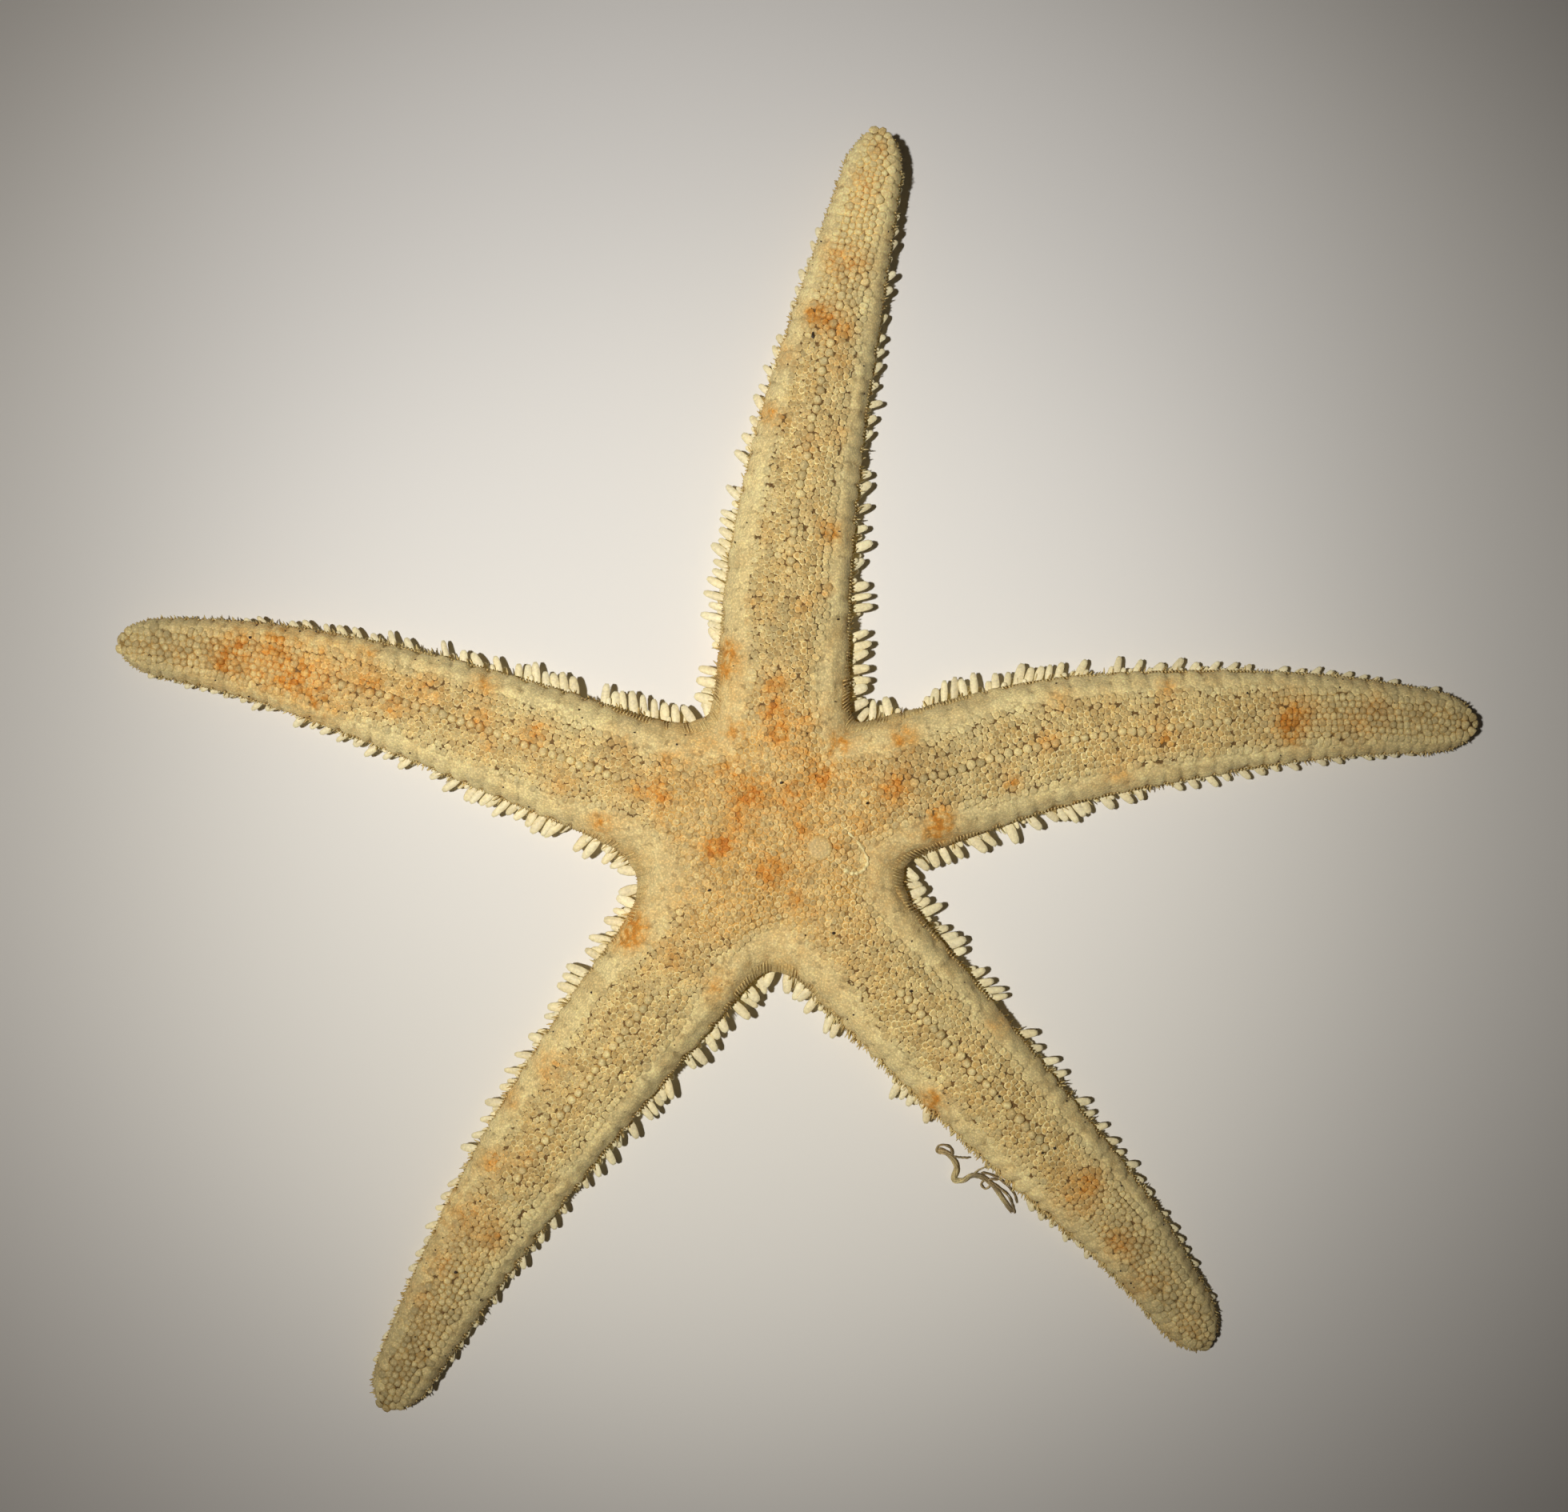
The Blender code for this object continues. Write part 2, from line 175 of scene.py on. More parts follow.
# Orange stains, as they show from the camera on the table's scale: x and y in mm from the disc's
# centre, radius in mm, strength.
STAINS = (
    (-4.2, 15.7, 0.8, 1.0), (-4.3, 13.9, 0.8, 1.0), (-0.2, 12.6, 0.8, 0.8), (-0.2, 10.4, 0.9, 0.9),
    (0.2, 8.0, 0.9, 0.9), (3.0, 9.1, 0.6, 0.7), (2.5, 6.5, 0.6, 0.6), (-3.7, 8.4, 0.7, 0.7),
    (-6.6, 7.2, 0.7, 0.4), (4.3, 44.7, 1.0, 1.0), (3.1, 45.5, 0.7, 0.8), (6.0, 43.9, 0.7, 0.7),
    (5.4, 50.1, 1.1, 0.6), (7.3, 49.6, 0.7, 0.5), (8.0, 56.3, 0.9, 0.4), (9.2, 59.7, 0.6, 0.45),
    (-0.2, 36.4, 0.9, 0.95), (0.8, 41.6, 0.9, 0.6), (5.7, 34.8, 0.7, 0.6), (5.6, 40.9, 0.7, 0.6),
    (4.8, 25.9, 0.9, 1.0), (3.2, 33.9, 0.7, 0.5), (4.4, 21.0, 0.5, 0.6), (2.3, 19.3, 0.7, 0.5),
    (-2.2, 20.0, 0.5, 0.5), (-4.2, 5.0, 0.7, 0.9), (-2.5, 2.6, 1.1, 1.1), (-3.3, 0.4, 0.9, 0.7),
    (1.3, 2.5, 1.1, 0.9), (4.0, 4.4, 0.9, 0.9), (5.5, 7.2, 0.8, 1.0), (-5.7, -2.0, 0.7, 0.9),
    (-4.9, -1.8, 0.7, 0.9), (-4.0, -1.7, 0.6, 0.7), (-0.4, -4.1, 1.1, 0.9), (1.7, -6.7, 0.7, 0.7),
    (2.5, -0.3, 0.8, 0.6), (5.3, -1.8, 0.6, 0.4), (7.6, 0.1, 0.6, 0.6), (-9.8, 5.9, 0.7, 0.7),
    (-13.6, 7.2, 0.9, 0.5), (-10.4, 3.0, 0.8, 1.0), (-12.4, 3.3, 0.6, 0.6), (-15.5, 0.3, 0.9, 0.9),
    (-19.0, 3.5, 0.8, 0.7), (-21.2, 8.1, 0.9, 1.0), (-25.9, 12.2, 1.0, 0.85),
    (-26.1, 9.2, 0.8, 0.85), (-25.6, 7.2, 0.6, 0.7), (-30.9, 12.0, 1.2, 0.75),
    (-33.9, 10.6, 0.7, 0.8), (-36.0, 12.7, 0.9, 0.85), (-36.0, 15.2, 0.7, 0.7),
    (-40.6, 11.2, 1.2, 0.5), (-43.0, 13.2, 0.8, 1.2), (-44.2, 16.1, 0.9, 0.5),
    (-47.6, 15.9, 0.9, 0.5), (-49.2, 14.6, 0.7, 0.8), (-43.5, 14.3, 4.6, 0.36),
    (-47.4, 15.4, 3.0, 0.28), (-39.6, 13.9, 3.0, 0.3), (11.3, 7.7, 0.8, 1.1), (10.5, 3.0, 0.9, 1.1),
    (11.2, 4.4, 0.7, 0.7), (14.4, -0.4, 1.2, 1.0), (14.6, 1.1, 0.9, 0.8), (21.0, 3.8, 0.7, 0.8),
    (24.0, 7.4, 0.7, 0.8), (25.1, 11.2, 0.8, 0.6), (30.3, 4.7, 1.0, 0.6), (34.3, 7.6, 0.7, 0.7),
    (34.8, 12.1, 0.8, 0.6), (45.9, 9.7, 1.3, 0.95), (45.5, 8.3, 1.0, 0.8), (53.0, 10.6, 0.9, 0.5),
    (51.4, 8.9, 0.9, 0.45), (34.0, 7.9, 2.4, 0.2), (-12.7, -8.5, 0.9, 0.9), (-12.2, -9.8, 0.9, 1.0),
    (-13.5, -10.6, 0.8, 0.7), (-9.3, -11.5, 1.0, 0.5), (-5.3, -14.2, 1.0, 0.7),
    (-20.0, -21.3, 1.1, 0.7), (-23.6, -23.9, 0.9, 0.6), (-25.1, -29.7, 0.9, 0.7),
    (-22.4, -29.5, 0.7, 0.55), (-27.6, -34.6, 1.8, 0.65), (-24.8, -36.5, 0.9, 0.6),
    (-29.9, -38.9, 1.0, 0.55), (-31.4, -41.9, 0.9, 0.5), (13.8, -24.4, 1.0, 1.1),
    (27.5, -31.7, 1.1, 0.8), (30.4, -37.0, 0.9, 0.85), (32.2, -40.6, 1.0, 0.5),
    (19.5, -17.9, 0.9, 0.5), (26.2, -33.1, 1.6, 0.4),
)

# Grey and olive dirt, and pale bleached plates, given in the same way.
DIRT = (
    (4.9, 16.9, 0.9, 0.7), (12.1, 7.4, 1.3, 0.55), (12.7, 6.2, 1.0, 0.4), (26.3, 11.0, 1.0, 0.45),
    (1.1, 20.3, 1.5, 0.3), (-4.6, 2.3, 1.3, 0.4), (-7.8, 5.1, 1.2, 0.3), (3.5, 27.8, 2.5, 0.2),
    (-1.1, 2.3, 1.5, 0.35), (18.4, -24.6, 1.2, 0.3), (29.7, 10.1, 1.6, 0.25),
)
BLEACHED = (
    (16.4, 9.0, 1.6, 0.8), (-17.5, 9.6, 2.2, 0.7), (-22.0, 10.6, 1.8, 0.6), (14.6, -17.5, 0.7, 0.7),
    (15.0, -24.9, 0.5, 0.9), (2.8, -5.1, 0.5, 0.7), (5.6, 35.5, 1.2, 0.5), (-8.0, 8.0, 2.0, 0.4),
    (17.6, -1.2, 1.5, 0.5), (-3.8, 30.0, 1.6, 0.4), (7.0, 30.0, 1.4, 0.35), (9.5, 55.0, 7.0, 0.6),
    (7.9, 7.6, 1.0, 0.8), (-0.4, 5.9, 1.0, 0.6), (-5.7, 8.6, 0.9, 0.7), (-10.0, -2.0, 1.4, 0.8),
    (-10.0, -5.8, 1.5, 0.8), (-7.4, -5.0, 1.2, 0.6), (6.4, -2.8, 0.8, 0.5), (-5.9, -7.3, 0.4, 0.8),
    (-6.0, 0.4, 0.9, 0.5), (-0.6, 0.6, 1.0, 0.5), (1.5, -11.5, 2.2, 0.6), (11.5, -5.5, 1.5, 0.5),
)

# Lighter and darker stretches of the back, given in the same way. The last number is the change.
# Those that darken the tips of the right, left and two lower arms are painted shade: the light
# falling off towards the edges of the view.
TONES_AND_TIP_FALLOFF_SHADE = (
    (9.0, 56.5, 6.0, 0.8), (-42.0, 14.5, 4.5, 0.4), (-55.5, 16.5, 3.0, -0.35),
    (-33.0, -48.0, 6.5, -0.65), (34.0, -41.5, 6.0, -0.45), (57.0, 9.5, 5.0, -0.25),
    (14.0, 5.0, 4.5, -0.35), (0.0, 17.5, 3.5, -0.3), (33.0, 8.5, 5.0, 0.2),
    (0.0, 0.0, 9.0, -0.12),
)

# Dark grains caught on the back, given in the same way by x and y alone.
SPECKS = (
    (3.3, 43.8), (8.1, 2.0), (5.1, -9.5), (12.0, -14.7), (-5.9, -5.7), (0.5, 3.8), (-47.2, 16.8),
    (19.9, -24.2), (-28.7, -40.1), (-31.2, -47.1), (23.8, -29.3), (24.9, -28.9),
)

# The caught fibre's line in mm from the disc's centre and above the table, as in the solid.
FIBRE_LINE = (
    (14.3, -28.6, 0.30), (15.3, -29.1, 0.35), (15.9, -30.1, 0.45), (15.7, -31.2, 0.35),
    (16.5, -31.3, 0.40), (17.2, -30.9, 0.50), (18.0, -30.9, 0.55), (18.9, -31.5, 0.50),
    (19.6, -32.3, 0.40), (20.3, -33.3, 0.35), (20.9, -34.2, 0.30),
)

# Loose strands about it, each with its thickness in mm and its way in the same terms.
FIBRE_STRANDS = (
    (0.09, ((14.6, -29.0, 0.3), (14.2, -28.8, 0.35), (14.3, -28.3, 0.5), (14.9, -28.2, 0.6),
            (15.4, -28.5, 0.5), (15.6, -29.1, 0.4))),
    (0.08, ((15.5, -29.2, 0.3), (16.2, -29.3, 0.5), (17.0, -29.3, 0.9))),
    (0.09, ((18.6, -31.1, 0.4), (19.3, -32.1, 0.5), (19.9, -33.0, 0.4), (20.6, -33.8, 0.3))),
    (0.08, ((18.1, -30.6, 0.5), (19.2, -30.9, 0.7), (20.2, -31.6, 0.6), (21.0, -32.5, 0.4),
            (21.3, -33.4, 0.3))),
    (0.08, ((18.4, -31.2, 0.5), (18.1, -31.7, 0.4), (18.5, -32.1, 0.4), (18.9, -31.7, 0.5),
            (18.8, -31.2, 0.7), (19.6, -31.3, 0.6))),
    (0.08, ((19.2, -31.6, 0.4), (20.4, -32.6, 0.6), (20.9, -33.6, 0.4), (21.1, -34.3, 0.3))),
    (0.07, ((17.3, -30.9, 0.4), (17.9, -30.3, 0.9), (18.7, -30.0, 1.2))),
)


def hex_colour(text):
    """An sRGB hex colour as linear red, green and blue."""
    channels = [int(text[place:place + 2], 16) / 255 for place in (0, 2, 4)]
    return [c / 12.92 if c <= 0.04045 else ((c + 0.055) / 1.055) ** 2.4 for c in channels]


def colour_of(name, text, description):
    """A colour that the user can change."""
    return bpy.props.FloatVectorProperty(
        name=name, description=description, subtype="COLOR", size=3, min=0, max=1,
        default=hex_colour(text),
    )


def length_of(name, size, description):
    """A size in mm that the user can change."""
    return bpy.props.FloatProperty(
        name=name, description=description, default=size * MM, unit="LENGTH",
    )


class StarfishSettings(bpy.types.PropertyGroup):
    """Sizes and colours of the dried starfish"""

    disc_pitch: length_of("Crown spacing, disc", 0.58, "Distance between grain crowns on the disc")
    middle_pitch: length_of(
        "Crown spacing, arms", 0.55, "Distance between grain crowns half way out",
    )
    tip_pitch: length_of("Crown spacing, tips", 0.6, "Distance between grain crowns near the tips")
    bead_pitch: length_of(
        "Bead spacing", 0.84, "Distance between the beads down the middle of an arm",
    )
    spine_length: length_of("Spine length", 2.9, "Length of the edge spines by the notches")
    rib_pitch: length_of(
        "Comb spacing", 0.3, "Distance between the fine ribs down the side wall",
    )
    crown: colour_of("Crown", "C7A055", "Middle of a grain crown")
    rim: colour_of("Crown rim", "FBE9AC", "Bright rim of the grain crowns and the edge plates")
    cream: colour_of("Bleached", "E9D598", "Bleached plates, beads and spines")
    olive: colour_of("Side wall", "CCB478", "Olive film on the side walls and in hollows")
    stain: colour_of("Stain", "DFA144", "Orange stains")
    deep_stain: colour_of("Deep stain", "CE842E", "Red-brown heart of the stains")
    # Colour that the hollows darken to: dark skin between the crowns, and painted shade in the gaps, plate
    # grooves, furrows, crown walls and cups and at the spine roots.
    soil_and_shade: colour_of("Soil", "74582E", "Dark skin and soil between the crowns")
    spine: colour_of("Spine", "F3E8C0", "Edge spines")
    foot: colour_of("Tube feet", "A8743A", "Dried tube feet")
    fibre: colour_of("Fibre", "8E8062", "Caught fibre")
    paper: colour_of("Floor", "EFECE4", "Floor")


def through(values, share):
    """Smooth curve through evenly spaced values, read at shares from 0 to 1."""
    values = np.asarray(values, float)
    knots = np.concatenate([[2 * values[0] - values[1]], values, [2 * values[-1] - values[-2]]])
    place = np.clip(share, 0, 1) * (len(values) - 1)
    first = np.minimum(place.astype(int), len(values) - 2)
    f = place - first
    a, b, c, d = (knots[first + k] for k in range(4))
    return b + 0.5 * f * (c - a + f * (2 * a - 5 * b + 4 * c - d + f * (3 * (b - c) + d - a)))


def between(ends, share):
    """A value on the straight way from one end to the other."""
    return ends[0] + (ends[1] - ends[0]) * share


def ramp(value, low, high):
    """0 below low, 1 above high and smooth between them."""
    t = np.clip((value - low) / (high - low), 0, 1)
    return t * t * (3 - 2 * t)


def unit(vectors):
    """The same directions with a length of 1."""
    return vectors / np.maximum(np.linalg.norm(vectors, axis=-1, keepdims=True), 1e-9)


def middle_line(arm, share):
    """Points of an arm's middle line in plan, and the unit vectors to its left."""
    angle = math.radians(arm["angle"])
    ahead = np.array([math.cos(angle), math.sin(angle)])
    left = np.array([-ahead[1], ahead[0]])

    def points(s):
        return np.outer(s * arm["length"], ahead) + np.outer(through(arm["bow"], s), left)

    step = 0.001
    way = unit(points(np.clip(share + step, 0, 1)) - points(np.clip(share - step, 0, 1)))
    return points(share), np.column_stack([-way[:, 1], way[:, 0]])


def notch_point(index):
    """Where the edges of two arms meet, in mm from the disc's centre."""
    angle, distance = NOTCHES[index]
    return distance * np.array([math.cos(math.radians(angle)), math.sin(math.radians(angle))])


def nearness_to_tip(arm, share):
    """0 until the rounding of the tip begins and 1 at the tip."""
    return np.clip(1 - (1 - share) * arm["length"] / TIP_ROUNDING, 0, 1)


def tip_round(arm, share):
    """How much of its breadth and height an arm keeps in the rounding of the tip."""
    return np.sqrt(1 - nearness_to_tip(arm, share) ** 2)


def edge_line(arm, side, notch, plates):
    """Edge points and shares of the length at plate numbers, and the share beside the notch."""
    near = np.linspace(0.02, 0.4, 800)
    points, left = middle_line(arm, near)
    ahead = np.column_stack([left[:, 1], -left[:, 0]])
    first = np.argmin(np.abs(np.sum((notch - points) * ahead, axis=1)))
    start = near[first]
    notch_reach = side * float((notch - points[first]) @ left[first])

    share = start + (1 - start) * np.linspace(0, 1, 3000)
    reach = arm["breadth"] * through(HALF_BREADTH, share)
    flare = notch_reach - reach[0]
    fade = NOTCH_TURN / max(abs(flare), 0.3)
    reach = reach + flare * np.exp(-(share - start) * arm["length"] * fade)
    reach = reach * tip_round(arm, share)
    points, left = middle_line(arm, share)
    edge = points + side * reach[:, None] * left
    edge[0] = notch

    run = np.concatenate([[0], np.cumsum(np.linalg.norm(np.diff(edge, axis=0), axis=1))])
    pitch = np.linspace(1, LAST_PLATE, PLATES)
    stops = np.concatenate([[0], np.cumsum(pitch)]) / pitch.sum() * run[-1]
    stops = np.interp(plates, np.arange(PLATES + 1), stops)
    joints = np.column_stack([np.interp(stops, run, edge[:, axis]) for axis in (0, 1)])
    return joints, np.interp(stops, run, share), start


def arm_rows(index):
    """Middle, edges and share of the length of an arm at fine steps of the plate number."""
    arm = ARMS[index]
    plates = np.linspace(0, PLATES, PLATES * 20 + 1)
    left_edge, left_share, left_start = edge_line(arm, 1, notch_point(index), plates)
    right_edge, right_share, right_start = edge_line(arm, -1, notch_point(index - 1), plates)
    share = (left_share + right_share) / 2
    start = (left_start + right_start) / 2
    square = SQUARE_FROM / arm["length"]
    share = share - start * np.clip((square - share) / (square - start), 0, 1) ** SWING_POWER
    middle, _ = middle_line(arm, share)
    return {"plates": plates, "middle": middle, 1: left_edge, -1: right_edge, "share": share}


ROWS = [arm_rows(index) for index in range(len(ARMS))]


def row_at(index, side, plate):
    """Middle point, way out to the edge, and share of the length, at plate numbers."""
    rows = ROWS[index]

    def read(values):
        return np.stack([np.interp(plate, rows["plates"], values[:, k]) for k in (0, 1)], axis=-1)

    middle = read(rows["middle"])
    return middle, read(rows[side]) - middle, np.interp(plate, rows["plates"], rows["share"])


def rise(arm, share):
    """How far the curl of the tip and its rounded nose lift the skin, in mm."""
    curl = np.maximum(0, (share - CURL_FROM) / (1 - CURL_FROM)) ** 2 * arm["tip_lift"]
    return curl + TIP_MIDDLE * HEIGHT[-1] * nearness_to_tip(arm, share) ** 2


def surface(index, side, plate, turn):
    """Points of the skin in mm. The turn is 0 at the middle of the back, 1 at the rim underneath,
    1.5 at the furrow's edge and 2 at the middle of its roof."""
    arm = ARMS[index]
    middle, reach, share = row_at(index, side, plate)
    width = np.linalg.norm(reach, axis=-1)
    tall = through(HEIGHT, share) * tip_round(arm, share)
    furrow = np.minimum(between(FURROW, share) / np.maximum(width, 0.001), 0.5)
    out = through(SECTION_OUT, turn)
    up = np.maximum(through(SECTION_UP, turn) * tall, UNDERSIDE * tip_round(arm, share))
    under = np.clip(turn - 1, 0, 0.5) * 2
    inside = np.clip(turn - 1.5, 0, 0.5) * math.pi
    out = out + (furrow * np.cos(inside) - SECTION_OUT[-1]) * under
    up = up + FURROW_ROOF * tall * np.sin(inside) * (turn > 1.5)
    plan = middle + out[..., None] * reach
    return np.concatenate([plan, (up + rise(arm, share))[..., None]], axis=-1)


def stand(index, side, plate, turn):
    """Points of the skin, with the directions along the arm, round the section and off the skin."""
    point = surface(index, side, plate, turn)
    along = surface(index, side, plate + 0.05, turn) - surface(index, side, plate - 0.05, turn)
    across = surface(index, side, plate, turn + 0.012) - surface(index, side, plate, turn - 0.012)
    off = unit(np.cross(along, across) * side)
    along = unit(along)
    return point, along, np.cross(off, along) * side, off


def wall_start(share):
    """Turn at which the comb of fine ribs on the side wall begins."""
    return between(WALL_FROM, ramp(share, 0.12, 0.4))


def band_start(index, side, plate):
    """Turn at which the grain crowns end and the smooth edge plates begin."""
    _, reach, _ = row_at(index, side, plate)
    width = np.maximum(np.linalg.norm(reach, axis=-1), 0.3)
    band = np.where(width < 6, 0.4 * width, 2.4 + 0.13 * (width - 6))
    band = band + 1.1 * (1 - ramp(plate, 1.5, 5.5))
    out = 1 - band / width
    return np.interp(out, SECTION_OUT[:7], np.linspace(0, 0.6, 7))


def spots(places, points, low=0.0):
    """How strongly a list of round marks covers points given in mm from the disc's centre."""
    height = CAMERA_PLACE[2]
    camera = np.array(CAMERA_PLACE[:2]) - DISC_CENTRE
    seen = camera + (points[..., :2] - camera) * (height / (height - points[..., 2:3]))
    total = np.zeros(points.shape[:-1])
    for x, y, radius, strength in places:
        apart = np.sum((seen - (x, y)) ** 2, axis=-1)
        total += strength * np.exp(-apart / (SPREAD * radius) ** 2)
    return np.clip(total, low, 1.2)


def warmth(points):
    """Faint overall orange: strongest on the disc, some on the left tip."""
    away = np.linalg.norm(points[..., :2], axis=-1)
    return 0.25 * (1 - ramp(away, 6, 19)) + 0.05 * ramp(away, 42, 58)


def patches(points, cream=0.0, olive=0.0, facing=1.0):
    """Stain, dirt and bleaching at points, as the materials read them."""
    stain = (0.82 * spots(STAINS, points) + warmth(points)) * facing
    dirt = np.maximum(spots(DIRT, points) * facing, olive)
    pale = np.maximum(spots(BLEACHED, points) * facing, cream)
    return np.stack([stain, dirt, pale], axis=-1)


def form_of(bm):
    """A finished form's points, and the corners of its faces."""
    bm.verts.index_update()
    points = np.array([vert.co for vert in bm.verts])
    faces = [[vert.index for vert in face.verts] for face in bm.faces]
    bm.free()
    return points, faces


def rod_form(sides, steps):
    """A closed rod: its points' steps and angles, and its faces."""
    bm = bmesh.new()
    bmesh.ops.create_cone(
        bm, cap_ends=True, segments=sides, radius1=1, radius2=1, depth=1,
    )
    upright = [edge for edge in bm.edges if abs(edge.verts[0].co.z - edge.verts[1].co.z) > 0.5]
    bmesh.ops.subdivide_edges(bm, edges=upright, cuts=steps - 1)
    bmesh.ops.recalc_face_normals(bm, faces=bm.faces[:])
    points, faces = form_of(bm)
    return {
        "step": np.rint((points[:, 2] + 0.5) * steps).astype(int),
        "angle": np.arctan2(points[:, 1], points[:, 0]),
        "faces": faces,
    }


def spun_form(profile, sides):
    """A round cap spun from its profile: its points and faces."""
    bm = bmesh.new()
    verts = [bm.verts.new((radius, 0, height)) for radius, height in profile]
    edges = [bm.edges.new(pair) for pair in zip(verts, verts[1:])]
    bmesh.ops.spin(
        bm, geom=verts + edges, cent=(0, 0, 0), axis=(0, 0, 1), angle=math.tau, steps=sides,
        use_merge=True,
    )
    bmesh.ops.remove_doubles(bm, verts=bm.verts[:], dist=0.001)
    bmesh.ops.recalc_face_normals(bm, faces=bm.faces[:])
    if sum(face.normal.z for face in bm.faces) < 0:
        bmesh.ops.reverse_faces(bm, faces=bm.faces[:])
    return form_of(bm)


def rays(root, way, length, steps):
    """Straight lines of evenly spaced points from each root."""
    share = np.linspace(0, 1, steps)
    return root[:, None] + way[:, None] * (share * length[:, None])[..., None]


def near_tree(points):
    """A tree that finds the nearest of points, which lie in the table's plane or in space."""
    tree = KDTree(len(points))
    for number, point in enumerate(points):
        tree.insert((*point, 0)[:3], number)
    tree.balance()
    return tree


def sweep(form, line, wide, flat, half_wide, half_thick, corner=1.0):
    """Copies of a rod along lines (copy, step, axis), flattened across two directions. A corner
    under 1 squares the section."""
    step = form["step"]
    wide, flat = (np.broadcast_to(way, line.shape) for way in (wide, flat))
    over, up = np.cos(form["angle"]), np.sin(form["angle"])
    over, up = (np.sign(way) * np.abs(way) ** corner for way in (over, up))
    across = half_wide[:, step, None] * over[None, :, None]
    upward = half_thick[:, step, None] * up[None, :, None]
    return line[:, step] + wide[:, step] * across + flat[:, step] * upward


def joined_mesh(name, groups):
    """One mesh from groups of copies. A group is the form's faces, and its copies' points in mm,
    grain values and patch values, each by copy, point and axis."""
    points, corners, counts, grains, marks = [], [], [], [], []
    first = 0
    for faces, copies, grain, patch in groups:
        number, size = copies.shape[:2]
        offsets = first + np.arange(number)[:, None] * size
        corners.append((np.concatenate(faces)[None] + offsets).ravel())
        counts.append(np.tile([len(face) for face in faces], number))
        points.append(copies.reshape(-1, 3))
        grains.append(np.broadcast_to(grain, copies.shape).reshape(-1, 3))
        marks.append(np.broadcast_to(patch, copies.shape).reshape(-1, 3))
        first += number * size
    points = np.concatenate(points)
    points[:, 2] = np.maximum(points[:, 2], LOWEST)
    points[:, :2] += DISC_CENTRE
    corners = np.concatenate(corners)
    counts = np.concatenate(counts)
    mesh = bpy.data.meshes.new(name)
    mesh.vertices.add(len(points))
    mesh.vertices.foreach_set("co", (points * MM).ravel())
    mesh.loops.add(len(corners))
    mesh.loops.foreach_set("vertex_index", corners)
    mesh.polygons.add(len(counts))
    mesh.polygons.foreach_set("loop_start", np.concatenate([[0], np.cumsum(counts)[:-1]]))
    for key, values in (("grain", grains), ("patch", marks)):
        layer = mesh.attributes.new(key, "FLOAT_VECTOR", "POINT")
        layer.data.foreach_set("vector", np.concatenate(values).ravel())
    mesh.update(calc_edges=True)
    mesh.validate()
    mesh.shade_smooth()
    return mesh


def add_piece(name, mesh, material):
    """Puts a finished mesh in the scene as a piece of the starfish."""
    piece = bpy.data.objects.new(name, mesh)
    bpy.context.scene.collection.objects.link(piece)
    mesh.materials.append(material)
    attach(piece, "root")
    return piece


def add(tree, kind, inputs=None, **settings):
    """Adds a node with its settings. An input is a value, or the socket that it is linked to, or a
    node, which stands for its first output in use."""
    node = tree.nodes.new("ShaderNode" + kind)
    for key, value in settings.items():
        setattr(node, key, value)
    for socket, value in (inputs or {}).items():
        if isinstance(value, bpy.types.Node):
            value = next(output for output in value.outputs if output.enabled)
        if isinstance(value, bpy.types.NodeSocket):
            tree.links.new(value, node.inputs[socket])
        else:
            node.inputs[socket].default_value = value
    return node


def new_material(name):
    """A material with an empty node tree, and the tree."""
    material = bpy.data.materials.new(name)
    material.use_nodes = True
    material.node_tree.nodes.clear()
    return material, material.node_tree


